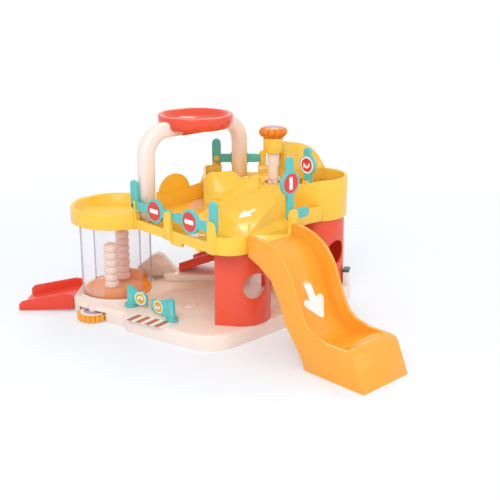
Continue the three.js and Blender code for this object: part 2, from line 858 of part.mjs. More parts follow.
function slideSolid() {
  const start = seatGap;
  const back = slideFront + slideWidth;
  const wall = [
    [start, 159], [12, 160], [26, 158], [42, 153], [57, 145], [67, 135], [76, 122], [86, 99], [97, 75],
    [107, 61], [118, 53.5], [140, 48.5], [172, 48], [181, 47], [186, 42], [204, 0], [105, 0], [102, 10],
    [92, 25], [70, 53], [57, 84], [42, 108], [20, 122], [start, 130],
  ];
  const run = [
    [-2, levelOne], [18, levelOne], [28, 139.5], [38, 132], [54, 112], [68, 82], [76, 66], [86, 50],
    [94, 41], [102, 36], [110, 33.5], [118, 33], [135, 38], [150, 44], [162, 47], [172, 48],
  ];
  const under = [...run.map(([x, z]) => [x - 1.5, z - skin - 0.5]), [181, 43], [199, -1], [-10, -1]];
  const channel = [...run, [172, tall], [-2, tall]];
  const side = (profile, from, to) => sideProfile(profile, [sillX, 0], [1, 0], [0, 1], from, to);
  const body = cut(
    side(wall, slideFront, back),
    side(channel, slideFront + slideWall, back - slideWall),
    side(under, slideFront + skin, back - skin),
  );
  const tabs = slideTabs.map((y) => box([slideX - 5.5, sillX + 4], [y - 6, y + 6], tabHeights));
  const roots = slideTabs.map((y) =>
    box([sillX + start, sillX + start + 3], [y - 6, y + 6], [tabHeights[0], levelOne - 1]),
  );
  return join(body, ...tabs, ...roots);
}

addPiece('slide', slideSolid(), amber);

// Pillars and tower

const pillarLow = baseHeight + seatGap;
const pillarHigh = deckBottom - seatGap;
const towerSides = 36;
const windowHeight = 79;

function frontPillar() {
  const middle = pillarRadius - skin / 2;
  const path = [
    [91, -67],
    [99.6, -79.6],
    ...[-48, -38, -28, -18, -8, 2, 12, 22, 32, 42, 52, 64].map((t) => onRing(pillarX, pillarY, middle, t)),
  ];
  const look = unit(-14);
  const from = placed([pillarX, pillarY], look, 20);
  const to = placed([pillarX, pillarY], look, pillarRadius + 2);
  return cut(
    ribbon(path, skin, pillarLow, pillarHigh),
    pinBetween([...from, windowHeight], [...to, windowHeight], windowRadius, 24),
  );
}

addPiece('front_pillar', frontPillar(), red);

const rearPillarAt = [-36, 108];
addPiece(
  'rear_pillar',
  cut(
    tube(...rearPillarAt, 11, 14, pillarLow, levelTwo - skin - seatGap, 20),
    sector(...rearPillarAt, 30, 190, 260, 0, tall),
  ),
  red,
);

function towerWall() {
  const wall = revolve(
    towerX,
    towerY,
    [
      [towerRadius - skin, pillarLow],
      [towerRadius, pillarLow],
      [towerRadius - 1.5, pillarHigh - 1],
      [towerRadius - skin, pillarHigh - 1],
      [towerRadius - skin, pillarLow],
    ],
    towerSides,
  );
  const look = unit(1);
  const from = placed([towerX, towerY], look, 20);
  const to = placed([towerX, towerY], look, towerRadius + 2);
  return cut(
    wall,
    sector(towerX, towerY, 90, doorFrom, doorTo, 0, tall),
    pinBetween([...from, windowHeight], [...to, windowHeight], windowRadius, 24),
  );
}

addPiece('tower_wall', towerWall(), red);

const ringInner = platformRadius + 1.5;
const ringLow = deckBottom - 1;
const gateFiveAt = [87, 116];
const gateFiveFloor = levelTwo - 16;
const liftWay = [(screwX - towerX) / Math.hypot(screwX - towerX, screwY - towerY), 0];
liftWay[1] = (screwY - towerY) / Math.hypot(screwX - towerX, screwY - towerY);
const liftSide = [-liftWay[1], liftWay[0]];
const liftReach = Math.hypot(screwX - towerX, screwY - towerY);
const liftArmHalf = 6;
const sleeveRadius = 12;
const sleeveHeight = 10;
const sleeveTop = levelTwo - platformThickness + sleeveHeight + 0.7; // room for the sleeve at the top

// Straight slot between the shaft and the screw, in which the platform's arm travels.
const liftSlot = (low, high, grow) =>
  sideProfile(
    [[30, low], [liftReach, low], [liftReach, high], [30, high]],
    [towerX, towerY],
    liftWay,
    liftSide,
    -liftArmHalf - grow,
    liftArmHalf + grow,
  );

// The ring's wall rises into a fin that closes the side of the screw and carries the cap over it.
function towerTop() {
  const along = (turns, radii, place) =>
    sweep(
      [[radii[0], 0], [radii[1], 0], [radii[1], 1], [radii[0], 1]],
      turns.map((turn, i) => {
        const [low, high] = place(turn, i);
        return { at: [towerX, towerY, low], right: [...unit(turn), 0], up: [0, 0, high - low] };
      }),
    );
  const ring = tube(towerX, towerY, ringInner, ringRadius, ringLow, ringTop, towerSides);
  const finTurns = [108, 116, 124, 132, 140, 150, 164, 184, 204];
  const finTops = [190, 198, 210, 218.5, 225, 229, 233, 236, 240];
  const fin = along(finTurns, [ringInner, ringRadius - 0.5], (turn, i) => [levelTwo - 4, finTops[i]]);
  // The front of the ring's wall falls a little towards the mouth.
  const dip = along([doorTo - 3, 290, 306, 322], [ringInner - 1, ringRadius + 1], (turn) => [
    ringTop - ((322 - turn) * 7) / 47,
    ringTop + 9,
  ]);
  const [finX, finY] = onRing(towerX, towerY, ringRadius - 2.4, 204);
  const web = ribbon([[finX, finY], [screwX + 6, screwY + 9]], 4.4, levelTwo + seatGap, 240);
  const cap = rod(screwX, screwY, capRadius, capBottom, capTop, 28);
  const doorway = sector(towerX, towerY, 90, doorFrom, doorTo, levelTwo, tall);
  const [gateX, gateY] = gateFiveAt;
  const gateZ = gateFiveFloor + pivotAboveFloor;
  const lug = box([gateX - 5.5, gateX + 5], [gateY - 4.2, gateY - seatGap], [levelTwo + 0.7, gateZ + 5]);
  const onGate = (y) => [gateX, gateY + y, gateZ];
  const swingRoom = pinBetween(onGate(-seatGap), onGate(armThickness + 1), leverWidth / 2 + 0.6, 20);
  return cut(
    join(cut(ring, doorway, dip), fin, web, cap, lug),
    rod(screwX, screwY, screwRadius + runGap, 0, tall, 24),
    liftSlot(0, sleeveTop, 1.2),
    rod(screwX, screwY, sleeveRadius + 1.5, 0, sleeveTop, 24),
    swingRoom,
    pinBetween(onGate(-4), onGate(3), barrierPin + seatGap, 10),
  );
}

addPiece('tower_top', towerTop(), yellow);

// Lift

const platformLow = baseHeight + 0.6;
const platformTop = platformLow + platformThickness;
const liftTravel = levelTwo - platformTop;
const followerRise = sleeveHeight / 2; // follower pins above the platform's underside
const followerRadius = 1.6;
const threadLow = platformLow + followerRise - 3.5;
const threadHigh = threadLow + liftTravel + 7;

// The screw: a round section with two grooves, twisted as it rises.
function liftScrew() {
  const half = Math.asin(grooveWidth / 2 / screwRadius) / degrees;
  const section = [];
  [0, 180].forEach((turn) => {
    section.push(onRing(0, 0, screwRadius - grooveDepth, turn - half * 0.8));
    section.push(onRing(0, 0, screwRadius - grooveDepth, turn + half * 0.8));
    section.push(onRing(0, 0, screwRadius, turn + half));
    section.push(onRing(0, 0, screwRadius, turn + 90));
    section.push(onRing(0, 0, screwRadius, turn + 180 - half));
  });
  const steps = Math.ceil(((threadHigh - threadLow) / screwPitch) * 12);
  const stations = Array.from({ length: steps + 1 }, (_, i) => {
    const z = threadLow + ((threadHigh - threadLow) * i) / steps;
    const turn = liftFacing - ((z - platformLow - followerRise) / screwPitch) * 360;
    return { at: [screwX, screwY, z], right: [...unit(turn), 0], up: [...unit(turn + 90), 0] };
  });
  return join(
    sweep(section, stations),
    rod(screwX, screwY, screwRadius, cupFloor + seatGap, threadLow + 0.01, 20),
    rod(screwX, screwY, screwRadius, threadHigh - 0.01, capTop - 0.5, 20),
    rod(screwX, screwY, 5, capTop - 1, capTop + 12, 6),
  );
}

const liftFacing = (Math.atan2(liftSide[1], liftSide[0]) * 180) / Math.PI;
addPiece('lift_screw', liftScrew(), cream);

// The knob: soft lobes, widest at half its height.
function liftKnob() {
  const lobes = 10;
  const rim = [0.9, 0.97, 1, 0.97];
  const section = Array.from({ length: lobes * 4 }, (_, i) =>
    onRing(0, 0, knobRadius * rim[i % 4], (90 * i) / lobes),
  );
  const low = capTop + seatGap;
  const bulges = [[0, 0.66], [0.15, 0.84], [0.4, 1], [0.65, 1], [0.88, 0.85], [1, 0.6]];
  const stations = bulges.map(([rise, size]) => ({
    at: [screwX, screwY, low + rise * knobHeight],
    right: [size, 0, 0],
    up: [0, size, 0],
  }));
  return cut(sweep(section, stations), rod(screwX, screwY, 5 + seatGap, 0, capTop + 12 + seatGap, 6));
}

addPiece('lift_knob', liftKnob(), orange);

function liftPlatform() {
  const disc = revolve(
    towerX,
    towerY,
    [
      [0, platformLow],
      [platformRadius, platformLow],
      [platformRadius, platformTop],
      [platformRadius - 3, platformTop],
      [platformRadius - 4, platformTop - 1.2],
      [0, platformTop - 1.2],
    ],
    towerSides,
  );
  const arm = sideProfile(
    [
      [platformRadius - 6, platformLow],
      [liftReach - 9, platformLow],
      [liftReach - 9, platformLow + sleeveHeight - 1],
      [liftReach - sleeveRadius, platformLow + sleeveHeight - 1],
      [platformRadius + 5, platformTop],
      [platformRadius - 6, platformTop],
    ],
    [towerX, towerY],
    liftWay,
    liftSide,
    -liftArmHalf,
    liftArmHalf,
  );
  const z = platformLow + followerRise;
  const follower = (sign) =>
    pinBetween(
      [...placed([screwX, screwY], liftSide, sign * (screwRadius - grooveDepth + runGap)), z],
      [...placed([screwX, screwY], liftSide, sign * (sleeveRadius - 1)), z],
      followerRadius,
      10,
    );
  const followers = [follower(1), follower(-1)];
  return join(
    cut(
      join(disc, arm, rod(screwX, screwY, sleeveRadius, platformLow, platformLow + sleeveHeight, 24)),
      rod(screwX, screwY, screwRadius + runGap, 0, tall, 20),
    ),
    ...followers,
  );
}

addPiece('lift_platform', liftPlatform(), orange);

// Handle and landing pad

const padY = 16;
const padSides = 32;
const keelHalf = 8.6;
const keelFront = -15;

function handleArm(y0, way, reach) {
  const section = [];
  const [a, b] = [handleDeep / 2, handleWide / 2];
  const r = 5;
  [[1, 1], [-1, 1], [-1, -1], [1, -1]].forEach(([sx, sy], i) => {
    [0, 45, 90].forEach((t) => {
      const [c, s] = unit(i * 90 + t);
      section.push([sx * (a - r) + r * c, sy * (b - r) + r * s]);
    });
  });
  const foot = way > 0 ? levelOne : levelTwo;
  const bend = handleShoulder;
  const stations = [{ at: [handleX, y0, foot + seatGap], right: [1, 0, 0], up: [0, 1, 0] }];
  for (let t = 0; t <= 90; t += 11.25) {
    const [c, s] = unit(t);
    stations.push({
      at: [handleX, y0 + way * bend * (1 - c), handleCrown - bend + bend * s],
      right: [1, 0, 0],
      up: [0, c, -way * s],
    });
  }
  stations.push({ at: [handleX, reach, handleCrown], right: [1, 0, 0], up: [0, 0, -way] });
  return sweep(section, stations);
}

function padProfile(grow) {
  return [
    [0, padBottom - grow],
    [padRadius - 5, padBottom - grow],
    [padRadius - 1 + grow, padBottom + 5 - grow],
    [padRadius + grow, padTop - 2],
    [padRadius - 1, padTop + grow],
  ];
}

function helipad() {
  const body = revolve(
    handleX,
    padY,
    [
      ...padProfile(0),
      [padRadius - 6.5, padTop],
      [padRadius - 8.5, padTop - 2],
      [padRadius - 11, padTop - 9],
      [0, padTop - 10],
    ],
    padSides,
  );
  const keel = box(
    [handleX - keelHalf, handleX + keelHalf],
    [keelFront, padY + padRadius],
    [handleCrown - 11, padBottom + 1],
  );
  return join(body, keel);
}

addPiece('helipad', helipad(), deepRed);

const padCutter = join(
  revolve(handleX, padY, [...padProfile(seatGap), [0, padTop + seatGap]], padSides),
  box(
    [handleX - 20, handleX + 20],
    [keelFront - seatGap, padY + padRadius + seatGap],
    [handleCrown - 20, padBottom + 1 + seatGap],
  ),
);
addPiece('handle_left', cut(handleArm(handleFront, 1, keelFront), padCutter), cream);
addPiece('handle_right', cut(handleArm(handleBack, -1, padY + padRadius - 6), padCutter), cream);

// Barriers

const fullSign = { at: signOffset, radius: signRadius };
const roundLoop = (u, v, radius, sides) =>
  Array.from({ length: sides }, (_, i) => onRing(u, v, radius, (360 * i) / sides));
const arcPoints = (u, v, radius, from, to, steps) =>
  Array.from({ length: steps + 1 }, (_, i) => onRing(u, v, radius, from + ((to - from) * i) / steps));

// Outline of an arm: the pivot disc, the round sign, the tip and, for most, a lever.
function armOutline(reach, sign, lever) {
  const half = armHeight / 2;
  const disc = leverWidth / 2;
  const foot = Math.asin(half / disc) / degrees;
  const neck = Math.asin(half / sign.radius) / degrees;
  const top = lever > 0 ? arcPoints(0, lever - disc, disc, 0, 180, 6) : arcPoints(0, 0, disc, foot, 180, 3);
  return [
    ...(lever > 0 ? [[disc, half]] : []),
    ...top,
    ...arcPoints(0, 0, disc, 180, 360 - foot, 4),
    ...arcPoints(sign.at, 0, sign.radius, 180 + neck, 360 - neck, 7),
    ...arcPoints(reach - half, 0, half, -90, 90, 6),
    ...arcPoints(sign.at, 0, sign.radius, neck, 180 - neck, 7),
  ];
}

function barrier(station, lever) {
  const { at, way, inward, floor, open, plane = armPlane, reach = armLength, sign = fullSign } = station;
  const z = floor + pivotAboveFloor;
  const [c, s] = unit(open);
  const stations = (from, to) =>
    [from, to].map((w) => ({
      at: [...placed(at, inward, w), z],
      right: [way[0] * c, way[1] * c, s],
      up: [-way[0] * s, -way[1] * s, c],
    }));
  const back = plane + armThickness;
  return {
    arm: cut(
      sweep(armOutline(reach, sign, lever), stations(plane, back)),
      sweep(roundLoop(0, 0, barrierPin + runGap, 12), stations(plane - 1, back + 1)),
    ),
    pin: join(
      sweep(roundLoop(0, 0, barrierPin, 10), stations(plane - 3.2, back + 0.5)),
      sweep(roundLoop(0, 0, 4.2, 12), stations(back + 0.3, back + 1.5)),
    ),
    hole: sweep(roundLoop(0, 0, barrierPin + seatGap, 10), stations(plane - 3.5, plane + 3)),
  };
}

const barrierHoles = [];
Object.entries(barrierStations).forEach(([place, station]) => {
  const { arm, pin, hole } = barrier(station, station.lever ?? leverLength);
  addPiece(`barrier_${place}`, arm, teal);
  addPiece(`barrier_pin_${place}`, pin, grey);
  barrierHoles.push(hole);
});
const towerGate = barrier(
  {
    at: gateFiveAt,
    way: [-1, 0],
    inward: [0, 1],
    floor: gateFiveFloor,
    open: 88,
    plane: 0,
    reach: 54,
    sign: { at: 28, radius: 15 },
  },
  0,
);
addPiece('barrier_tower', towerGate.arm, teal);
addPiece('barrier_pin_tower', towerGate.pin, grey);

// Toll gates

gatePoints.forEach(({ name, at, turn, reach }) => {
  const way = unit(turn);
  const side = unit(turn + 90);
  const low = baseHeight + seatGap;
  const leaf = sideProfile(
    [
      [-5, low + 3],
      [reach, low + 5],
      [reach, low + gateLow - 2],
      [reach - 3, low + gateLow],
      [reach * 0.6, low + gateLow + 1],
      [reach * 0.3, low + gateHigh - 4],
      [4, low + gateHigh],
      [-3, low + gateHigh],
      [-5, low + gateHigh - 2],
    ],
    at,
    way,
    side,
    -gateThickness / 2,
    gateThickness / 2,
  );
  const foot = join(
    rod(...at, gateFoot, low, low + 3.5, 16),
    rod(...at, 5, low, low + gateHigh - 3, 12),
    rod(...at, gateSpigot, 13, low + 1, 12),
  );
  addPiece(`toll_gate_${name}`, join(leaf, foot), teal);
  addPiece(`gate_clip_${name}`, tube(...at, gateSpigot + seatGap, gateSpigot + 4, 15.5, 19.2, 12), grey);
});

// Entry ramp

function entryRamp() {
  const half = entryWidth / 2;
  const strip = (profile, from, to) => sideProfile(profile, rampRoot, rampWay, rampSide, from, to);
  const side = [
    [seatGap, 4],
    [seatGap, 25],
    [4, 28],
    [12, 29],
    [entryLength - 14, 17],
    [entryLength - 5, 15],
    [entryLength, 10],
    [entryLength, 0.4],
    [entryLength - 6, 0.4],
  ];
  const end = entryLength + 2;
  const channel = [[-1, 19.5], [8, 18.5], [entryLength - 2, 2.2], [end, 2], [end, 60], [-1, 60]];
  const under = [[channelWall, -1], [channelWall, 16], [9, 15.6], [entryLength - 14, 1.6], [entryLength - 12, -1]];
  const tabs = rampTabs.map((v) =>
    strip([[-5, 12.3], [channelWall, 12.3], [channelWall, 15.7], [-5, 15.7]], v - 6, v + 6),
  );
  return join(
    cut(
      strip(side, -half, half),
      strip(channel, -half + channelWall, half - channelWall),
      strip(under, -half + 2 * channelWall, half - 2 * channelWall),
    ),
    ...tabs,
  );
}

addPiece('entry_ramp', entryRamp(), deepRed);

// Rear road and the ramp that comes down to it

const roadTop = 32;
function rearRoad() {
  const pulleys = [[-92, -2, 12], [-40, 55, 12], [-34, 76, 12], [-62, 80, 12], [-100, 56, 14]];
  const low = baseHeight + seatGap;
  const from = [-140, -33];
  const way = [Math.cos(38 * degrees), Math.sin(38 * degrees)];
  const wedge = (inset) =>
    sideProfile(
      [
        [inset, 0],
        [66 - inset, 0],
        [66 - inset, 31 - inset],
        [42, 58 - inset],
        [34, 61 - inset],
        [26, 58 - inset],
        [inset, 36 - inset],
      ],
      from,
      way,
      [-way[1], way[0]],
      inset,
      14 - inset,
    );
  const above = box([-wide, wide], [-wide, wide], [low, tall]);
  const outside = keep(join(softPrism(belt(pulleys), low, roadTop, 2), wedge(0)), above);
  return cut(
    outside,
    prism(belt(pulleys, skin), 0, roadTop - skin),
    wedge(skin),
    revolve(washX, washY, [[0, 0], [clearRadius + 4, 0], [clearRadius + 4, 200], [0, 200]], 40),
  );
}

addPiece('rear_road', rearRoad(), cream);

function backRamp() {
  const half = backWidth / 2;
  const section = [
    [-half, 0], [half, 0], [half, 14], [half - channelWall, 14], [half - channelWall, channelWall],
    [-half + channelWall, channelWall], [-half + channelWall, 14], [-half, 14],
  ];
  const line = [
    [44, 98, 88], [22, 85, 84], [-4, 72, 74], [-32, 60, 62], [-60, 48, 50], [-82, 38, 39], [-95, 33, 32.6],
  ];
  const stations = line.map((at, i) => {
    const [ax, ay] = line[Math.max(i - 1, 0)];
    const [bx, by] = line[Math.min(i + 1, line.length - 1)];
    const span = Math.hypot(bx - ax, by - ay);
    return { at, right: [(by - ay) / span, (ax - bx) / span, 0], up: [0, 0, 1] };
  });
  return cut(
    join(sweep(section, stations), box([30, 38], [78, 88], [baseHeight + seatGap, 87])),
    rod(screwX, screwY, sleeveRadius + 2, 0, tall, 24),
    liftSlot(0, tall, 1.5),
    rod(towerX, towerY, towerRadius + 1, 0, tall, towerSides),
  );
}

addPiece('back_ramp', backRamp(), deepRed);

// Fuel pump behind the tower

const pumpTurn = 32;
const pumpFrom = towerRadius + 1;
function pumpBlock(low, high, grow) {
  return sideProfile(
    [[pumpFrom - grow, low], [pumpFrom + 9 + grow, low], [pumpFrom + 9 + grow, high], [pumpFrom - grow, high]],
    [towerX, towerY],
    unit(pumpTurn),
    unit(pumpTurn + 90),
    -9 - grow,
    9 + grow,
  );
}

addPiece('fuel_pump', pumpBlock(baseHeight + seatGap, 42, 0), plastic('#f4f2ee'));
addPiece('pump_cap', pumpBlock(42 + seatGap, 46, 0.4), green);

// Cuts in the deck for the pieces that hook into it.
function deckCuts() {
  const slots = slideTabs.map((y) =>
    box([slideX - 6, slideX + 4], [y - 6.3, y + 6.3], [tabHeights[0] - seatGap, tabHeights[1] + seatGap]),
  );
  return [...slots, liftSlot(0, tall, 1.5), rod(screwX, screwY, sleeveRadius + 1.5, 0, tall, 24)];
}

addPiece('upper_deck', cut(deckSolid(), ...barrierHoles, ...deckCuts()), yellow);

export default garage;
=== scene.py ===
import json
from math import cos, degrees, pi, radians, sin

import bmesh
import bpy
from mathutils import Matrix, Vector


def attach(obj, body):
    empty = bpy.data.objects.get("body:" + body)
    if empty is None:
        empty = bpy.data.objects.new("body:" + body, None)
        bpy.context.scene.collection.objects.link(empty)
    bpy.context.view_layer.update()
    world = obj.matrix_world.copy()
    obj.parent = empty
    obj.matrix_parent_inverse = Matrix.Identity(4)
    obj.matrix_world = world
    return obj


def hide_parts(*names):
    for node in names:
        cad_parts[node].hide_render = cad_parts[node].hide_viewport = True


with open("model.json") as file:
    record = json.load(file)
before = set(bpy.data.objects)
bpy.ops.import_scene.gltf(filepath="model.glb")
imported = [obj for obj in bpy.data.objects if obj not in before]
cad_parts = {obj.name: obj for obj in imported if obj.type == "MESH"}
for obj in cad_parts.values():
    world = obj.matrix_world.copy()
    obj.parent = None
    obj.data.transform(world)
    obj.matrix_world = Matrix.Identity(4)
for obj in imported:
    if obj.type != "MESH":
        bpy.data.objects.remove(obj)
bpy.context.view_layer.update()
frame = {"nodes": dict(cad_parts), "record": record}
mm = 0.001

# Camera, at the photograph's angle
cameraSettings = {
    "place": (0.998, -0.881, 0.515), "tilt": 72.3, "turn": 46.0, "lens": 67.2, "sensor": 36.0,
}
cameraData = bpy.data.cameras.new("photoCamera")
cameraData.lens = cameraSettings["lens"]
cameraData.sensor_width = cameraSettings["sensor"]
photoCamera = bpy.data.objects.new("photoCamera", cameraData)
photoCamera.location = cameraSettings["place"]
photoCamera.rotation_euler = (radians(cameraSettings["tilt"]), 0, radians(cameraSettings["turn"]))
bpy.context.scene.collection.objects.link(photoCamera)
bpy.context.scene.camera = photoCamera
bpy.context.scene.view_settings.view_transform = "Standard"
print("camera set")


# Shader maths: a wrapped socket adds its Math nodes as the expression is written.
class Wire:
    def __init__(self, paint, socket):
        self.paint = paint
        self.socket = socket

    def maths(self, operation, *values):
        return self.paint.add("ShaderNodeMath", {"operation": operation}, dict(enumerate(values)))

    def __add__(self, other):
        return self.maths("ADD", self, other)

    def __radd__(self, other):
        return self.maths("ADD", other, self)

    def __sub__(self, other):
        return self.maths("SUBTRACT", self, other)

    def __rsub__(self, other):
        return self.maths("SUBTRACT", other, self)

    def __mul__(self, other):
        return self.maths("MULTIPLY", self, other)

    def __rmul__(self, other):
        return self.maths("MULTIPLY", other, self)

    def __pow__(self, other):
        return self.maths("POWER", self, other)

    def clipped(self):
        return self.maths("MINIMUM", self.maths("MAXIMUM", self, 0.0), 1.0)


# A new material, or the nodes of a tree that is there already, such as the world's
class Paint:
    def __init__(self, name=None, tree=None):
        if tree is None:
            self.material = bpy.data.materials.new(name)
            self.material.use_nodes = True
            tree = self.material.node_tree
            self.shader = tree.nodes["Principled BSDF"]
            self.sheet = tree.nodes["Material Output"]
        self.nodes = tree.nodes
        self.links = tree.links

    def add(self, kind, settings=None, inputs=None, output=0):
        node = self.nodes.new(kind)
        for key, value in (settings or {}).items():
            setattr(node, key, value)
        for key, value in (inputs or {}).items():
            self.feed(node.inputs[key], value)
        return Wire(self, node.outputs[output])

    def feed(self, socket, value):
        if isinstance(value, Wire):
            self.links.new(value.socket, socket)
        else:
            socket.default_value = value

    def finished(self, inputs):
        for key, value in inputs.items():
            self.feed(self.shader.inputs[key], value)
        return self.material

    def place(self):
        return self.add("ShaderNodeTexCoord", output="Object")

    def noise(self, scale, detail=2.0, roughness=0.5, stretch=None):
        where = self.place()
        if stretch:
            where = self.add("ShaderNodeMapping", {}, {"Vector": where, "Scale": stretch})
        return self.add(
            "ShaderNodeTexNoise", {},
            {"Vector": where, "Scale": scale, "Detail": detail, "Roughness": roughness},
        )

    def blendColours(self, factor, first, second):
        node = self.nodes.new("ShaderNodeMix")
        node.data_type = "RGBA"
        self.feed(node.inputs[0], factor)
        self.feed(node.inputs[6], first)
        self.feed(node.inputs[7], second)
        return Wire(self, node.outputs[2])

    def ramp(self, factor, low, high):
        return self.add("ShaderNodeMapRange", {}, {0: factor, 1: low, 2: high, 3: 0.0, 4: 1.0})


# A colour written as in a paint program, turned to the linear values that a shader takes
def linear(hexColour):
    parts = [int(hexColour[i:i + 2], 16) / 255 for i in (1, 3, 5)]
    return (*[c / 12.92 if c <= 0.04045 else ((c + 0.055) / 1.055) ** 2.4 for c in parts], 1.0)


def shifted(colour, amount):
    return (*[min(max(c * amount, 0.0), 1.0) for c in colour[:3]], 1.0)


# What all the moulded plastics share: noise scales per metre, lengths in metres
plasticLook = {
    "cloud": 14.0, "darker": 0.95, "lighter": 1.04, "cloudGloss": 0.1,
    "scratch": 60.0, "stretch": (1.0, 1.0, 6.0), "scratchRange": (0.60, 0.72), "scratchGloss": 0.2,
    "worn": (0.9, 0.88, 0.85, 1.0), "wornShare": 0.10, "scuffs": 0.12,
    "grain": 900.0, "grainBump": 0.05, "grainDepth": 0.0002, "edgeRound": 0.0009,
    "soft": 0.06, "softReach": (0.004, 0.002, 0.001), "softScale": 0.5, "specular": 0.45,
}


def mouldedPlastic(name, hexColour, gloss=0.26):
    look = plasticLook
    paint = Paint(name)
    colour = linear(hexColour)
    cloud = paint.noise(look["cloud"], detail=3.0)
    grain = paint.noise(look["grain"])
    streaks = paint.noise(look["scratch"], detail=6.0, roughness=0.7, stretch=look["stretch"])
    scratch = paint.ramp(streaks, *look["scratchRange"])
    tone = paint.blendColours(cloud, shifted(colour, look["darker"]), shifted(colour, look["lighter"]))
    worn = paint.blendColours(scratch * (look["wornShare"] * look["scuffs"]), tone, look["worn"])
    dullness = cloud * look["cloudGloss"] + scratch * (look["scratchGloss"] * look["scuffs"])
    rounded = paint.add("ShaderNodeBevel", {"samples": 4}, {"Radius": look["edgeRound"]})
    bump = paint.add(
        "ShaderNodeBump", {},
        {"Strength": look["grainBump"], "Distance": look["grainDepth"], "Height": grain, "Normal": rounded},
    )
    return paint.finished({
        "Base Color": worn,
        "Roughness": (gloss - look["cloudGloss"] / 2) + dullness,
        "Normal": bump,
        "Subsurface Weight": look["soft"],
        "Subsurface Radius": look["softReach"],
        "Subsurface Scale": look["softScale"],
        "Specular IOR Level": look["specular"],
    })


# The thin clear walls of the car wash, denser where they turn edge on
clearLook = {
    "face": "#e9e4f2", "rim": "#d8c3cf", "blend": 0.35, "alpha": 0.06, "rimAlpha": 0.7,
    "smear": 20.0, "stretch": (1.0, 1.0, 0.3), "smearAlpha": 0.03, "gloss": 0.04, "smearGloss": 0.06,
    "specular": 0.7,
}


def clearPlastic(name):
    look = clearLook
    paint = Paint(name)
    rim = paint.add("ShaderNodeLayerWeight", {}, {"Blend": look["blend"]}, output="Facing")
    smear = paint.noise(look["smear"], detail=4.0, roughness=0.6, stretch=look["stretch"])
    return paint.finished({
        "Base Color": paint.blendColours(rim, linear(look["face"]), linear(look["rim"])),
        "Alpha": (look["alpha"] + rim ** 3.0 * look["rimAlpha"] + smear * look["smearAlpha"]).clipped(),
        "Roughness": look["gloss"] + smear * look["smearGloss"],
        "Specular IOR Level": look["specular"],
    })


# The cut ends of the clear walls look denser than their faces.
denseLook = {
    "dark": "#b9adb9", "light": "#d5cbd6", "smear": 60.0, "alpha": 0.4, "smearAlpha": 0.15,
    "gloss": 0.08, "smearGloss": 0.05,
}


def denseClear(name):
    look = denseLook
    paint = Paint(name)
    smear = paint.noise(look["smear"], detail=3.0)
    return paint.finished({
        "Base Color": paint.blendColours(smear, linear(look["dark"]), linear(look["light"])),
        "Alpha": look["alpha"] + smear * look["smearAlpha"],
        "Roughness": look["gloss"] + smear * look["smearGloss"],
    })


# Printed film with a little grain
printLook = {
    "grain": 700.0, "darker": 0.96, "lighter": 1.03, "gloss": 0.28, "grainGloss": 0.08, "coat": 0.15,
}


def printedSticker(name, hexColour):
    look = printLook
    paint = Paint(name)
    colour = linear(hexColour)
    grain = paint.noise(look["grain"])
    return paint.finished({
        "Base Color": paint.blendColours(
            grain, shifted(colour, look["darker"]), shifted(colour, look["lighter"])
        ),
        "Roughness": look["gloss"] + grain * look["grainGloss"],
        "Coat Weight": look["coat"],
    })


finishes = {
    "cream": mouldedPlastic("creamPlastic", "#fbe7dc"),
    "roller": mouldedPlastic("rollerPlastic", "#fcdccb", 0.32),
    "yellow": mouldedPlastic("yellowPlastic", "#ffcc46", 0.22),
    "amber": mouldedPlastic("amberPlastic", "#fdab36", 0.17),
    "red": mouldedPlastic("redPlastic", "#ee563a"),
    "deep_red": mouldedPlastic("deepRedPlastic", "#e84630", 0.22),
    "pad": mouldedPlastic("padPlastic", "#ec5235", 0.14),
    "teal": mouldedPlastic("tealPlastic", "#5cc6c4"),
    "orange": mouldedPlastic("orangePlastic", "#f98a26", 0.18),
    "dish": mouldedPlastic("dishPlastic", "#fa9630", 0.18),
    "grey": mouldedPlastic("greyPlastic", "#b9b6b8", 0.45),
    "pin": mouldedPlastic("darkPinPlastic", "#5d5550", 0.4),
    "green": mouldedPlastic("darkGreenPlastic", "#2d6355"),
    "pale": mouldedPlastic("palePlastic", "#f2f0ec"),
    "clear": clearPlastic("clearPlastic"),
    "edge": denseClear("clearPlasticEdge"),
}
prints = {
    "white": printedSticker("whitePrint", "#ffffff"),
    "red": printedSticker("redPrint", "#df3a30"),
    "brown": printedSticker("brownPrint", "#c9683c"),
    "blush": printedSticker("blushPrint", "#f3b7a2"),
    "lime": printedSticker("limePrint", "#c9d84a"),
    "sand": printedSticker("sandFilm", "#e9bda0"),
    "violet": printedSticker("violetPrint", "#bba4c4"),
    "mustard": printedSticker("mustardPrint", "#eda12c"),
}
print("finishes made")


def addPiece(name, shape, body, finish, stands=(), smooth=35.0):
    mesh = bpy.data.meshes.new(name)
    shape.to_mesh(mesh)
    shape.free()
    mesh.materials.append(finish)
    for face in mesh.polygons:
        face.use_smooth = True
    mesh.set_sharp_from_angle(angle=radians(smooth))
    piece = bpy.data.objects.new(name, mesh)
    bpy.context.scene.collection.objects.link(piece)
    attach(piece, body)
    if stands:
        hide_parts(*stands)
    return piece


# How a node's edges are found and rounded: the weld in metres, the angles in degrees
moulding = {"weld": 0.000004, "flat": 0.5, "crisp": 48.0, "segments": 2}
# Radius in mm of the moulded edges of each node
edgeRounds = {
    "others": 0.7,
    "slide": 1.5,
    "upper_deck": 0.8,
    "tower_top": 0.8,
    "handle_left": 0.0,
    "handle_right": 0.0,
    "clear_panel_front": 0.0,
    "clear_panel_back": 0.0,
    "lift_screw": 0.4,
    "idler_gear": 0.4,
    "roller_gear_front": 0.4,
    "roller_gear_back": 0.4,
}


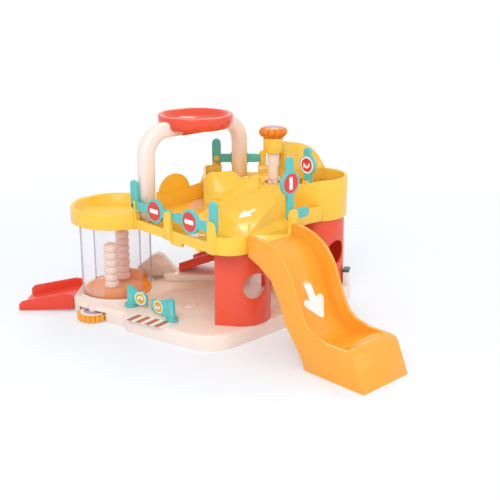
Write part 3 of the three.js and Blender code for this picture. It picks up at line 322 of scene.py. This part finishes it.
# A merged copy of a CAD node whose form is right, with its moulded edges rounded in the mesh
def smoothedCopy(node, body, finish):
    shape = bmesh.new()
    shape.from_mesh(frame["nodes"][node].data)
    bmesh.ops.remove_doubles(shape, verts=shape.verts, dist=moulding["weld"])
    bmesh.ops.dissolve_limit(
        shape, angle_limit=radians(moulding["flat"]), verts=shape.verts, edges=shape.edges
    )
    width = edgeRounds.get(node, edgeRounds["others"])
    sharpest = radians(moulding["crisp"])
    crisp = [e for e in shape.edges if e.is_manifold and e.calc_face_angle_signed(0.0) > sharpest]
    if width and crisp:
        bmesh.ops.bevel(
            shape, geom=crisp, offset=width * mm, offset_type="OFFSET", segments=moulding["segments"],
            profile=0.5, affect="EDGES", clamp_overlap=True, material=-1,
        )
    bmesh.ops.triangulate(shape, faces=[f for f in shape.faces if len(f.verts) > 4])
    return addPiece(node + ".smooth", shape, body, finish, (node,))


seamGap = 0.000005  # in metres, closes the seam and the poles of a turned piece


# A turned piece: a profile of [radius, height] in mm, spun about the vertical through x, y
def turned(profile, x, y, steps):
    shape = bmesh.new()
    points = [shape.verts.new((radius * mm, 0, z * mm)) for radius, z in profile]
    edges = [shape.edges.new(pair) for pair in zip(points, points[1:])]
    bmesh.ops.spin(
        shape, geom=points + edges, cent=(0, 0, 0), axis=(0, 0, 1), angle=2 * pi, steps=steps, use_merge=True
    )
    bmesh.ops.remove_doubles(shape, verts=shape.verts, dist=seamGap)
    bmesh.ops.recalc_face_normals(shape, faces=shape.faces)
    bmesh.ops.translate(shape, verts=shape.verts, vec=(x * mm, y * mm, 0))
    return shape


# A flat printed shape, given in its own plane in mm, laid at a place with a way along and a way up
def flatPrint(loop, place, along, up, thickness):
    shape = bmesh.new()
    along, up = Vector(along).normalized(), Vector(up).normalized()
    out = along.cross(up)
    corners = [shape.verts.new((Vector(place) + along * u + up * v) * mm) for u, v in loop]
    face = shape.faces.new(corners)
    raised = bmesh.ops.extrude_face_region(shape, geom=[face])
    tops = [v for v in raised["geom"] if isinstance(v, bmesh.types.BMVert)]
    bmesh.ops.translate(shape, verts=tops, vec=out * thickness * mm)
    bmesh.ops.recalc_face_normals(shape, faces=shape.faces)
    return shape


def circleLoop(radius, count=48):
    turns = [2 * pi * i / count for i in range(count)]
    return [(radius * cos(a), radius * sin(a)) for a in turns]


def roundedBar(width, height, radius, count=5):
    loop = []
    for (su, sv), start in (((1, 1), 0), ((-1, 1), 90), ((-1, -1), 180), ((1, -1), 270)):
        for i in range(count + 1):
            a = radians(start + 90 * i / count)
            u = su * (width / 2 - radius) + radius * cos(a)
            v = sv * (height / 2 - radius) + radius * sin(a)
            loop.append((u, v))
    return loop


# A path through all the points with the bends eased out
def easedPath(points, steps=5):
    knots = [Vector(p) for p in points]
    path = []
    for i in range(len(knots) - 1):
        a, b = knots[max(i - 1, 0)], knots[i]
        c, d = knots[i + 1], knots[min(i + 2, len(knots) - 1)]
        for k in range(steps):
            t = k / steps
            bend = (2 * a - 5 * b + 4 * c - d) * t ** 2
            twist = (3 * b - a - 3 * c + d) * t ** 3
            path.append(0.5 * (2 * b + (c - a) * t + bend + twist))
    return path + [knots[-1]]


# The end face of a closed shape is pushed on, one step at a time, by the given moves of its corners
def pushedOn(shape, face, moves):
    for move in moves:
        raised = bmesh.ops.extrude_face_region(shape, geom=[face])
        corners = [v for v in raised["geom"] if isinstance(v, bmesh.types.BMVert)]
        bmesh.ops.transform(shape, matrix=move, verts=corners)
        face = next(f for f in raised["geom"] if isinstance(f, bmesh.types.BMFace))
    bmesh.ops.recalc_face_normals(shape, faces=shape.faces)
    return shape


# A round bead of even thickness along a path in mm
def beadAlong(path, radius, sides=14):
    frames = []
    for i, spot in enumerate(path):
        way = path[min(i + 1, len(path) - 1)] - path[max(i - 1, 0)]
        frames.append(Matrix.Translation(spot * mm) @ way.to_track_quat("Z", "Y").to_matrix().to_4x4())
    shape = bmesh.new()
    bmesh.ops.create_circle(shape, cap_ends=True, segments=sides, radius=radius * mm, matrix=frames[0])
    moves = [after @ before.inverted() for before, after in zip(frames, frames[1:])]
    return pushedOn(shape, next(iter(shape.faces)), moves)


fluting = {"cornersPerLobe": 12, "fullness": 0.7}


# A fluted piece: a round outline with soft lobes, carried up through levels of [height, size] in mm
def fluted(centre, radius, lobes, depth, phase, levels):
    count = lobes * fluting["cornersPerLobe"]
    shape = bmesh.new()
    corners = []
    for i in range(count):
        a = 2 * pi * i / count
        swell = abs(cos((a - phase) * lobes / 2)) ** fluting["fullness"]
        reach = radius * (1 - depth + depth * swell)
        corners.append(shape.verts.new((reach * cos(a) * mm, reach * sin(a) * mm, 0)))
    face = shape.faces.new(corners)
    place = Matrix.Translation((centre[0] * mm, centre[1] * mm, 0))
    frames = [
        place @ Matrix.Translation((0, 0, z * mm)) @ Matrix.Diagonal((size, size, 1, 1)) for z, size in levels
    ]
    bmesh.ops.transform(shape, matrix=frames[0], verts=shape.verts)
    return pushedOn(shape, face, [after @ before.inverted() for before, after in zip(frames, frames[1:])])


# Every node whose form is right becomes a smoothed copy. A few have a finish that isn't their slot's.
nodeBody = {
    node: body for body, members in frame["record"]["behaviour"]["bodies"].items() for node in members
}
nodeSlot = {entry["node"]: entry["material_slot"] for entry in frame["record"]["subparts"]}
ownFinish = {"barrier_pin_back": "yellow", "helipad": "pad", "wash_floor": "dish"}
remade = {"wash_roller_front", "wash_roller_back", "lift_knob", "thumb_wheel"}
for node in frame["nodes"]:
    if node not in remade:
        finish = ownFinish.get(node, "pin" if node.startswith("barrier_pin") else nodeSlot[node])
        smoothedCopy(node, nodeBody[node], finishes[finish])
print("smooth copies made:", len(nodeBody) - len(remade))


def unit(turn):
    return cos(radians(turn)), sin(radians(turn))


def stepped(place, way, distance):
    return place[0] + way[0] * distance, place[1] + way[1] * distance


# Car wash: its middle, and where the rollers and their wheel stand from it
wash = {"at": (-116.0, -87.0), "turn": 40.0, "rollerOffset": 36.0, "wheelWay": -78.0, "wheelGap": 43.2}
washSide = unit(wash["turn"] - 90)
rollerPlaces = {
    "front": stepped(wash["at"], washSide, wash["rollerOffset"]),
    "back": stepped(wash["at"], washSide, -wash["rollerOffset"]),
}
wheelPlace = stepped(rollerPlaces["front"], unit(wash["wheelWay"]), wash["wheelGap"])

# Rollers: a stack of soft round beads on a blind bore
roller = {
    "radius": 10.8, "waist": 6.4, "low": 25.0, "height": 79.0, "beads": 7, "shaft": 4.3, "bore": 62.3,
    "span": 80, "step": 10, "fullness": 0.62, "cap": [(5.5, 1.6), (2.5, 2.0), (0, 2.0)],
}
bead = roller["height"] / roller["beads"]
for name, (x, y) in rollerPlaces.items():
    profile = [(0, roller["bore"]), (roller["shaft"], roller["bore"]), (roller["shaft"], roller["low"])]
    for i in range(roller["beads"]):
        middle = roller["low"] + bead * (i + 0.5)
        for a in range(-roller["span"], roller["span"] + 1, roller["step"]):
            swell = cos(radians(a)) ** roller["fullness"]
            rise = bead * 0.5 * sin(radians(a)) / sin(radians(roller["span"]))
            profile.append((roller["waist"] + (roller["radius"] - roller["waist"]) * swell, middle + rise))
    top = roller["low"] + roller["height"]
    profile += [(reach, top + rise) for reach, rise in roller["cap"]]
    addPiece(
        "washRoller." + name, turned(profile, x, y, 64), name + "_wash_roller", finishes["roller"],
        ("wash_roller_" + name,), 70,
    )
print("rollers made")

# Knob on the lift screw: ten soft lobes that bulge by [height, size], and a pale lilac badge on top
knob = {
    "at": (17.0, 115.0), "radius": 21.5, "lobes": 10, "depth": 0.16, "phase": 18.0, "low": 248.3,
    "height": 16.0, "bulge": [(0, 0.66), (0.15, 0.86), (0.4, 1), (0.65, 1), (0.88, 0.85), (1, 0.58)],
    "badge": [(0, -0.2), (9.5, -0.2), (9.2, 0.5), (0, 0.5)],
}
bulges = easedPath([(rise, size, 0) for rise, size in knob["bulge"]], 4)
levels = [(knob["low"] + spot.x * knob["height"], spot.y) for spot in bulges]
knobShape = fluted(knob["at"], knob["radius"], knob["lobes"], knob["depth"], radians(knob["phase"]), levels)
addPiece("liftKnob", knobShape, "lift_knob", finishes["orange"], ("lift_knob",), 60)
knobTop = knob["low"] + knob["height"]
badgeShape = turned([(reach, knobTop + rise) for reach, rise in knob["badge"]], *knob["at"], 48)
addPiece("liftKnobBadge", badgeShape, "lift_knob", prints["violet"])

# Thumb wheel: rounded teeth that drive the rollers, and a badge of two rings on top
wheel = {
    "radius": 23.7, "teeth": 18, "depth": 0.18, "phase": 102.0, "low": 1.5, "high": 12.0, "boss": 7.2,
    "foot": (1.2, 0.95), "crown": (1.6, 0.94),
    "rings": {"rim": (18.5, 0.25, "white"), "middle": (14.5, 0.4, "violet")},
}
(footRise, footSize), (crownDrop, crownSize) = wheel["foot"], wheel["crown"]
levels = [
    (wheel["low"], footSize), (wheel["low"] + footRise, 1.0),
    (wheel["high"] - crownDrop, 1.0), (wheel["high"], crownSize),
]
wheelShape = fluted(
    wheelPlace, wheel["radius"], wheel["teeth"], wheel["depth"], radians(wheel["phase"]), levels
)
addPiece("thumbWheel", wheelShape, "thumb_wheel", finishes["amber"], ("thumb_wheel",), 50)
for name, (reach, rise, ink) in wheel["rings"].items():
    low, high = wheel["high"], wheel["high"] + rise
    ring = [(wheel["boss"], low), (reach, low), (reach, high), (wheel["boss"], high), (wheel["boss"], low)]
    addPiece("wheelBadge." + name, turned(ring, *wheelPlace, 48), "thumb_wheel", prints[ink])
print("knob and wheel made")

# Denser cut ends of the two clear walls, each a thin bar that stands proud by a hair
clearWall = {
    "inner": 55.7, "outer": 58.0, "width": 1.2, "low": 22.4, "high": 132.6, "half": 38.0, "proud": 0.1,
}
barSize = (
    clearWall["outer"] - clearWall["inner"] + clearWall["proud"], clearWall["width"],
    clearWall["high"] - clearWall["low"],
)
barRise = (clearWall["low"] + clearWall["high"]) / 2
halfWidth = degrees(clearWall["width"] / 2 / clearWall["outer"])
for i, turn in enumerate((wash["turn"], wash["turn"] + 180)):
    for side in (-1, 1):
        edge = turn + side * clearWall["half"]
        out = unit(edge + side * halfWidth)
        middle = stepped(wash["at"], out, (clearWall["inner"] + clearWall["outer"]) / 2)
        bar = bmesh.new()
        bmesh.ops.create_cube(bar, size=1.0)
        bmesh.ops.scale(bar, vec=[length * mm for length in barSize], verts=bar.verts)
        bmesh.ops.rotate(
            bar, cent=(0, 0, 0), matrix=Matrix.Rotation(radians(edge), 3, "Z"), verts=bar.verts
        )
        bmesh.ops.translate(bar, vec=(middle[0] * mm, middle[1] * mm, barRise * mm), verts=bar.verts)
        addPiece("clearEdge.%d.%d" % (i, side + 1), bar, "building", finishes["edge"])

# Round top of the left wall of the deck
dome = {"at": (-95.55, 10.0, 163.0), "reach": 30.2, "rise": 27.2, "thick": 3.62, "lean": 1.1, "step": 4}
arch = [radians(a) for a in range(0, 181, dome["step"])]
half = [(dome["reach"] * cos(a), dome["rise"] * sin(a)) for a in arch]
lean = unit(90 + dome["lean"])
domeShape = flatPrint(half, dome["at"], (lean[0], lean[1], 0), (0, 0, 1), dome["thick"])
addPiece("wallDome", domeShape, "building", finishes["yellow"])

# Rounded beads along the tops of the slide's walls, whose tops run through [x from the sill, z]
slideWall = {
    "sill": 150.0, "front": -66.0, "width": 88.0, "wall": 5.0, "bead": 2.9, "drop": 2.5,
    "top": [
        (4, 159), (12, 160), (26, 158), (42, 153), (57, 145), (67, 135), (76, 122), (86, 99), (97, 75),
        (107, 61), (118, 53.5), (140, 48.5), (158, 48.1),
    ],
}
wallMiddles = {
    "front": slideWall["front"] + slideWall["wall"] / 2,
    "back": slideWall["front"] + slideWall["width"] - slideWall["wall"] / 2,
}
for name, y in wallMiddles.items():
    path = easedPath([(slideWall["sill"] + x, y, z - slideWall["drop"]) for x, z in slideWall["top"]])
    beadShape = beadAlong(path, slideWall["bead"])
    addPiece("slideBead." + name, beadShape, "building", finishes["amber"], smooth=70)
print("beads and wall top made")

# A small arrow that bends over to one side, within a circle of the given size
arrowBend = {"start": 200, "end": 50, "step": 15, "inner": 0.52, "drop": 0.2}


def bentArrow(size):
    start, end, step, thin = (arrowBend[key] for key in ("start", "end", "step", "inner"))
    outer = [(cos(radians(a)), sin(radians(a))) for a in range(start, end - 1, -step)]
    inner = [(thin * cos(radians(a)), thin * sin(radians(a))) for a in range(end + step, start + 1, step)]
    head = [(1.02, 1.0), (1.0, -0.25), (0.02, 0.35)]
    return [(size * u, size * (v - arrowBend["drop"])) for u, v in outer + head + inner]


# Small clip lugs under the front lip of the deck, as [from, to, low, high] along the lip
lugs = {"long": (27.0, 51.0, 127.0, 134.5), "short": (80.0, 88.0, 128.5, 134.5)}
lugForm = {"y": -95.0, "depth": 6.0, "round": 1.6, "segments": 3}
for name, (start, end, low, high) in lugs.items():
    lug = bmesh.new()
    bmesh.ops.create_cube(lug, size=1.0)
    size = ((end - start) * mm, lugForm["depth"] * mm, (high - low) * mm)
    bmesh.ops.scale(lug, vec=size, verts=lug.verts)
    place = ((start + end) / 2 * mm, lugForm["y"] * mm, (low + high) / 2 * mm)
    bmesh.ops.translate(lug, vec=place, verts=lug.verts)
    bmesh.ops.bevel(
        lug, geom=lug.edges[:], offset=lugForm["round"] * mm, offset_type="OFFSET",
        segments=lugForm["segments"], profile=0.5, affect="EDGES", clamp_overlap=True, material=-1,
    )
    addPiece("deckLug." + name, lug, "building", finishes["yellow"])

# Signs on the barriers, on both faces of each arm. Each layer is [radius, ink, thickness].
sign = {
    "offset": 47.0, "disc": (13.8, "red", 0.2), "bar": (18.0, 6.2), "barRound": 1.6, "barRise": 0.34,
    "small": 0.84,
}
towerSign = {"disc": (12.6, "white", 0.18), "ring": (10.2, "red", 0.3), "arrow": (6.2, "white", 0.42)}
armThickness = 5.0
backWall = {"corner": (-82.8, 80.7), "turn": 46.5, "out": 14.0, "along": 6.0}
backWay = unit(backWall["turn"])
backOut = stepped(backWall["corner"], unit(backWall["turn"] + 90), backWall["out"])
backAt = stepped(backOut, backWay, backWall["along"])
barriers = {
    "front_left": {"at": (-56, -98), "way": (1, 0), "inward": (0, 1), "z": 167, "open": 0, "plane": 1.4},
    "front_right": {"at": (114, -98), "way": (-1, 0), "inward": (0, 1), "z": 167, "open": 0, "plane": 1.4},
    "slide": {"at": (147, 24), "way": (0, -1), "inward": (-1, 0), "z": 167, "open": 88, "plane": 3.9},
    "back": {
        "at": backAt, "way": backWay, "inward": unit(backWall["turn"] - 90), "z": 204, "open": 0,
        "plane": 1.4,
    },
    "tower": {"at": (87, 116), "way": (-1, 0), "inward": (0, 1), "z": 188, "open": 88, "plane": 0},
}
signPlaces = {"back": 36.0, "tower": 28.0}


# The middle of a sign on an arm, with the ways along and across the arm as it stands at rest
def onArm(barrier, along, depth):
    c, s = unit(barrier["open"])
    flat = Vector((*barrier["way"], 0))
    lift = Vector((0, 0, 1))
    alongWay = flat * c + lift * s
    upWay = lift * c - flat * s
    inward = Vector((*barrier["inward"], 0))
    place = Vector((*barrier["at"], barrier["z"])) + alongWay * along + inward * depth
    return place, alongWay, upWay, inward


def printOn(name, loop, centre, faceOut, alongWay, body, ink, thickness):
    up = faceOut.cross(alongWay)
    return addPiece(name, flatPrint(loop, centre, alongWay, up, thickness), body, prints[ink])


for name, barrier in barriers.items():
    for face in ("outer", "inner"):
        depth = barrier["plane"] + (0 if face == "outer" else armThickness)
        at = signPlaces.get(name, sign["offset"])
        centre, alongWay, upWay, inward = onArm(barrier, at, depth)
        out = -inward if face == "outer" else inward
        label = name + "." + face
        body = "barrier_" + name
        if name == "tower":
            for part, key in (("signDisc.", "disc"), ("signRing.", "ring")):
                radius, ink, rise = towerSign[key]
                printOn(part + label, circleLoop(radius), centre, out, alongWay, body, ink, rise)
            size, ink, rise = towerSign["arrow"]
            arrowWay = -upWay if face == "outer" else upWay
            printOn("signArrow." + label, bentArrow(size), centre, out, arrowWay, body, ink, rise)
        else:
            scale = sign["small"] if name == "back" else 1.0
            radius, ink, rise = sign["disc"]
            printOn("signDisc." + label, circleLoop(radius * scale), centre, out, alongWay, body, ink, rise)
            bar = roundedBar(*[length * scale for length in sign["bar"]], sign["barRound"])
            printOn("signBar." + label, bar, centre, out, alongWay, body, "white", sign["barRise"])
print("signs made")

# Round badges with an arrow on the toll gates. Each layer is [radius, ink, thickness].
gates = {
    "left": {"at": (-42, -119), "turn": 16, "badge": 19.0, "z": 37.0},
    "right": {"at": (45, -113), "turn": 184, "badge": 26.0, "z": 36.5},
}
gateFace = 2.0
badgeLayers = {
    "badge": (9.6, "white", 0.16), "badgeRing": (8.4, "lime", 0.24), "badgeDisc": (7.1, "mustard", 0.3),
}
badgeArrow = (5.0, "white", 0.38)
for name, gate in gates.items():
    way = Vector((*unit(gate["turn"]), 0))
    side = Vector((*unit(gate["turn"] + 90), 0))
    middle = Vector((*gate["at"], gate["z"])) + way * gate["badge"]
    for face, out in (("a", side), ("b", -side)):
        centre = middle + out * gateFace
        body = "toll_gate_" + name
        label = "." + name + "." + face
        for part, (radius, ink, rise) in badgeLayers.items():
            printOn(part + label, circleLoop(radius), centre, out, way, body, ink, rise)
        size, ink, rise = badgeArrow
        printOn("badgeArrow" + label, bentArrow(size), centre, out, way, body, ink, rise)

# Marks on the floors
up = Vector((0, 0, 1))


def floorPrint(name, loop, x, y, z, turn, ink, thickness=0.2):
    way = Vector((*unit(turn), 0))
    shape = flatPrint(loop, Vector((x, y, z)), way, up.cross(way), thickness)
    return addPiece(name, shape, "building", prints[ink])


# An arrow as if painted with a broad brush, 52 by 38 mm, pointing along u
brushArrow = [
    (-27, -10.5), (-21, -8.4), (-28, -7.4), (-20, -5.6), (-30, -4.2), (-20.5, -2.9), (-27, -1.2), (-20, 0.2),
    (-24, 2.4), (-19, 4.2), (-11, 4.4), (-2.5, 5.6), (-5.8, 11), (-5.2, 16), (-1, 18.9), (4, 17.8), (23, 8),
    (26.2, 4.6), (24.5, 1), (5.5, -17.8), (1, -19.4), (-3.2, -17.4), (-3.6, -13), (-0.5, -8.2), (-9, -7.4),
    (-18, -8.8),
]


def sizedArrow(scale):
    return [(u * scale, v * scale) for u, v in brushArrow]


# Stripes of the crossing between the toll gates, on a pale patch
crossing = {
    "centre": (22.5, -138.6), "floor": 22.0, "turn": 15.7, "patch": (66.0, 25.5, 1.5), "patchRise": 0.12,
    "stripes": 4, "gap": 15.5, "stripe": (8.4, 25.0, 0.6), "stripeLean": -6.0, "stripeRise": 0.22,
}
floorPrint(
    "crossingPatch", roundedBar(*crossing["patch"]), *crossing["centre"], crossing["floor"],
    crossing["turn"], "white", crossing["patchRise"],
)
for i in range(crossing["stripes"]):
    x, y = stepped(crossing["centre"], unit(crossing["turn"]), (i - 1.5) * crossing["gap"])
    floorPrint(
        "crossingStripe.%d" % i, roundedBar(*crossing["stripe"]), x, y, crossing["floor"],
        crossing["turn"] + crossing["stripeLean"], "brown", crossing["stripeRise"],
    )

# Arrows printed on the floors, as [place, turn, size, ink], and a patch
floorMarks = {
    "baseArrowEdge": ((21.5, -60.5, 22.0), -110, 0.50, "blush"),
    "baseArrow": ((21.5, -60.5, 22.05), -110, 0.40, "white"),
    "deckArrowEdge": ((60.5, -77.5, 143.0), 222, 0.56, "blush"),
    "deckArrow": ((60.5, -77.5, 143.05), 222, 0.46, "white"),
}
for name, (place, turn, scale, ink) in floorMarks.items():
    floorPrint(name, sizedArrow(scale), *place, turn, ink)
# A sand-coloured patch laid as a thin film on the back-left of the deck floor
sandDeckPatch = {
    "floor": 143.0, "rise": 0.12,
    "loop": [(-66.8, 14.4), (-88.5, 47), (-86.4, 62), (-37, 21.4), (-47.2, 7.8)],
}
floorPrint(
    "sandDeckPatch", sandDeckPatch["loop"], 0, 0, sandDeckPatch["floor"], 0, "sand", sandDeckPatch["rise"]
)

# Arrow on the ramp between the levels, which rises by "rise" over "run" from "foot"
deckRamp = {
    "run": 116, "rise": 37, "foot": 143, "arrowAt": (63.5, 15.5), "fromFoot": 43.5, "way": (-0.37, -0.93),
    "size": 0.56, "thickness": 0.3,
}
rampUp = Vector((0, -deckRamp["rise"], deckRamp["run"])).normalized()
rampDown = Vector((*deckRamp["way"], deckRamp["way"][1] * deckRamp["rise"] / deckRamp["run"]))
arrowRise = deckRamp["foot"] + deckRamp["rise"] * deckRamp["fromFoot"] / deckRamp["run"]
rampArrow = flatPrint(
    sizedArrow(deckRamp["size"]), (*deckRamp["arrowAt"], arrowRise), rampDown, rampUp.cross(rampDown),
    deckRamp["thickness"],
)
addPiece("rampArrow", rampArrow, "building", prints["white"])

# Arrow that lies over the bend of the slide's floor, which runs through [x from the sill, z]
slideRun = [
    (-2, 143), (18, 143), (28, 139.5), (38, 132), (54, 112), (68, 82), (76, 66), (86, 50), (94, 41),
    (102, 36),
]
slideArrow = {"along": 110.0, "across": -13.5, "thickness": 0.35}
runPoints = [Vector((slideWall["sill"] + x, 0, z)) for x, z in slideRun]
runLengths = [0.0]
for before, after in zip(runPoints, runPoints[1:]):
    runLengths.append(runLengths[-1] + (after - before).length)


def onRun(length, lift):
    i = max(k for k in range(len(runPoints) - 1) if runLengths[k] <= length)
    way = (runPoints[i + 1] - runPoints[i]).normalized()
    return runPoints[i] + way * (length - runLengths[i]) + Vector((-way.z, 0, way.x)) * lift


shape = bmesh.new()
shape.faces.new(
    [shape.verts.new((u + slideArrow["along"], v + slideArrow["across"], 0)) for u, v in brushArrow]
)
bmesh.ops.triangulate(shape, faces=shape.faces)
for length in runLengths:  # a cut at each bend of the floor
    bmesh.ops.bisect_plane(
        shape, geom=shape.verts[:] + shape.edges[:] + shape.faces[:], plane_co=(length, 0, 0),
        plane_no=(1, 0, 0),
    )
raised = bmesh.ops.extrude_face_region(shape, geom=shape.faces[:])
for corner in [v for v in raised["geom"] if isinstance(v, bmesh.types.BMVert)]:
    corner.co.z = slideArrow["thickness"]
for corner in shape.verts:
    spot = onRun(corner.co.x, corner.co.z)
    corner.co = Vector((spot.x, corner.co.y, spot.z)) * mm
bmesh.ops.recalc_face_normals(shape, faces=shape.faces)
addPiece("slideArrow", shape, "building", prints["white"])

# Two pale stripes down the entry ramp, which falls by "fall" over "run" from the lobe of the base
entry = {
    "lobe": (-104, -85), "turn": 223.0, "root": 69.0, "slip": 4.0, "run": 74.0, "fall": 16.3, "top": 18.5,
    "middle": 42.0, "level": 8.0, "stripe": (64, 3.4, 1.6), "shifts": (12.0, 25.0), "thickness": 0.3,
}
entryWay, entrySide = unit(entry["turn"]), unit(entry["turn"] + 90)
entryRoot = stepped(stepped(entry["lobe"], entryWay, entry["root"]), entrySide, entry["slip"])
entryFall = Vector((entryWay[0] * entry["run"], entryWay[1] * entry["run"], -entry["fall"])).normalized()
sideWay = Vector((*entrySide, 0))
stripeRise = entry["top"] - entry["fall"] * (entry["middle"] - entry["level"]) / entry["run"]
for i, shift in enumerate(entry["shifts"]):
    spot = stepped(stepped(entryRoot, entryWay, entry["middle"]), entrySide, shift)
    stripe = flatPrint(
        roundedBar(*entry["stripe"]), (*spot, stripeRise), entryFall,
        entryFall.cross(sideWay).cross(entryFall), entry["thickness"],
    )
    addPiece("entryStripe.%d" % i, stripe, "building", prints["white"])
print("floor marks made")


# Where the backdrop shows as full white: to the camera, in gloss and through clear plastic
def backdropSeen(paint):
    camera, gloss, through = (
        paint.add("ShaderNodeLightPath", output=kind)
        for kind in ("Is Camera Ray", "Is Glossy Ray", "Is Transmission Ray")
    )
    return (camera + gloss + through).clipped()


# Floor: lit as it is near the object, so that it keeps the shadow, and white from "far" on
stageSettings = {
    "size": 40.0, "shade": (0.88, 0.93, 1.0), "dullness": 0.9, "glow": 0.33, "near": 0.36, "far": 0.95,
    "world": 0.74,
}
floorShape = bmesh.new()
bmesh.ops.create_grid(floorShape, x_segments=1, y_segments=1, size=stageSettings["size"])
floorMesh = bpy.data.meshes.new("floor")
floorShape.to_mesh(floorMesh)
floorShape.free()
floorPaint = Paint("paleFloor")
away = floorPaint.add("ShaderNodeVectorMath", {"operation": "LENGTH"}, {0: floorPaint.place()}, output=1)
faded = floorPaint.ramp(away, stageSettings["near"], stageSettings["far"])
plain = (1.0 - faded) * (1.0 - stageSettings["glow"])
white = floorPaint.add("ShaderNodeEmission", {}, {"Color": (1, 1, 1, 1), "Strength": 1.0})
lit = Wire(floorPaint, floorPaint.shader.outputs[0])
shown = backdropSeen(floorPaint) * (1.0 - plain)
mixed = floorPaint.add("ShaderNodeMixShader", {}, {0: shown, 1: lit, 2: white})
floorPaint.feed(floorPaint.sheet.inputs["Surface"], mixed)
floorMesh.materials.append(floorPaint.finished({
    "Base Color": (*stageSettings["shade"], 1),
    "Roughness": stageSettings["dullness"],
    "Specular IOR Level": 0.0,
}))
floor = bpy.data.objects.new("floor", floorMesh)
bpy.context.scene.collection.objects.link(floor)

# Sky: plain light all round, and white where it is seen
world = bpy.data.worlds.new("studio")
bpy.context.scene.world = world
world.use_nodes = True
sky = Paint(tree=world.node_tree)
lightSky = sky.add("ShaderNodeBackground", {}, {"Color": (1, 1, 1, 1), "Strength": stageSettings["world"]})
whiteSky = sky.add("ShaderNodeBackground", {}, {"Color": (1, 1, 1, 1), "Strength": 1.0})
skyMix = sky.add("ShaderNodeMixShader", {}, {0: backdropSeen(sky), 1: lightSky, 2: whiteSky})
sky.feed(sky.nodes["World Output"].inputs["Surface"], skyMix)

# Soft square lamps, in metres and watts
lamps = {
    "keyLamp": {"place": (0.95, -1.25, 1.45), "aim": (0, 0, 0.1), "size": 1.0, "power": 15.0},
    "backLamp": {"place": (-0.7, 0.9, 1.5), "aim": (0, 0, 0.15), "size": 0.5, "power": 5.0},
    "fillLamp": {"place": (1.6, 0.4, 1.0), "aim": (0, 0, 0.1), "size": 1.2, "power": 3.8},
}
for name, settings in lamps.items():
    lampData = bpy.data.lights.new(name, "AREA")
    lampData.size = settings["size"]
    lampData.energy = settings["power"]
    lamp = bpy.data.objects.new(name, lampData)
    lamp.location = settings["place"]
    aim = Vector(settings["aim"]) - Vector(settings["place"])
    lamp.rotation_euler = aim.to_track_quat("-Z", "Y").to_euler()
    bpy.context.scene.collection.objects.link(lamp)
print("floor and lamps set")
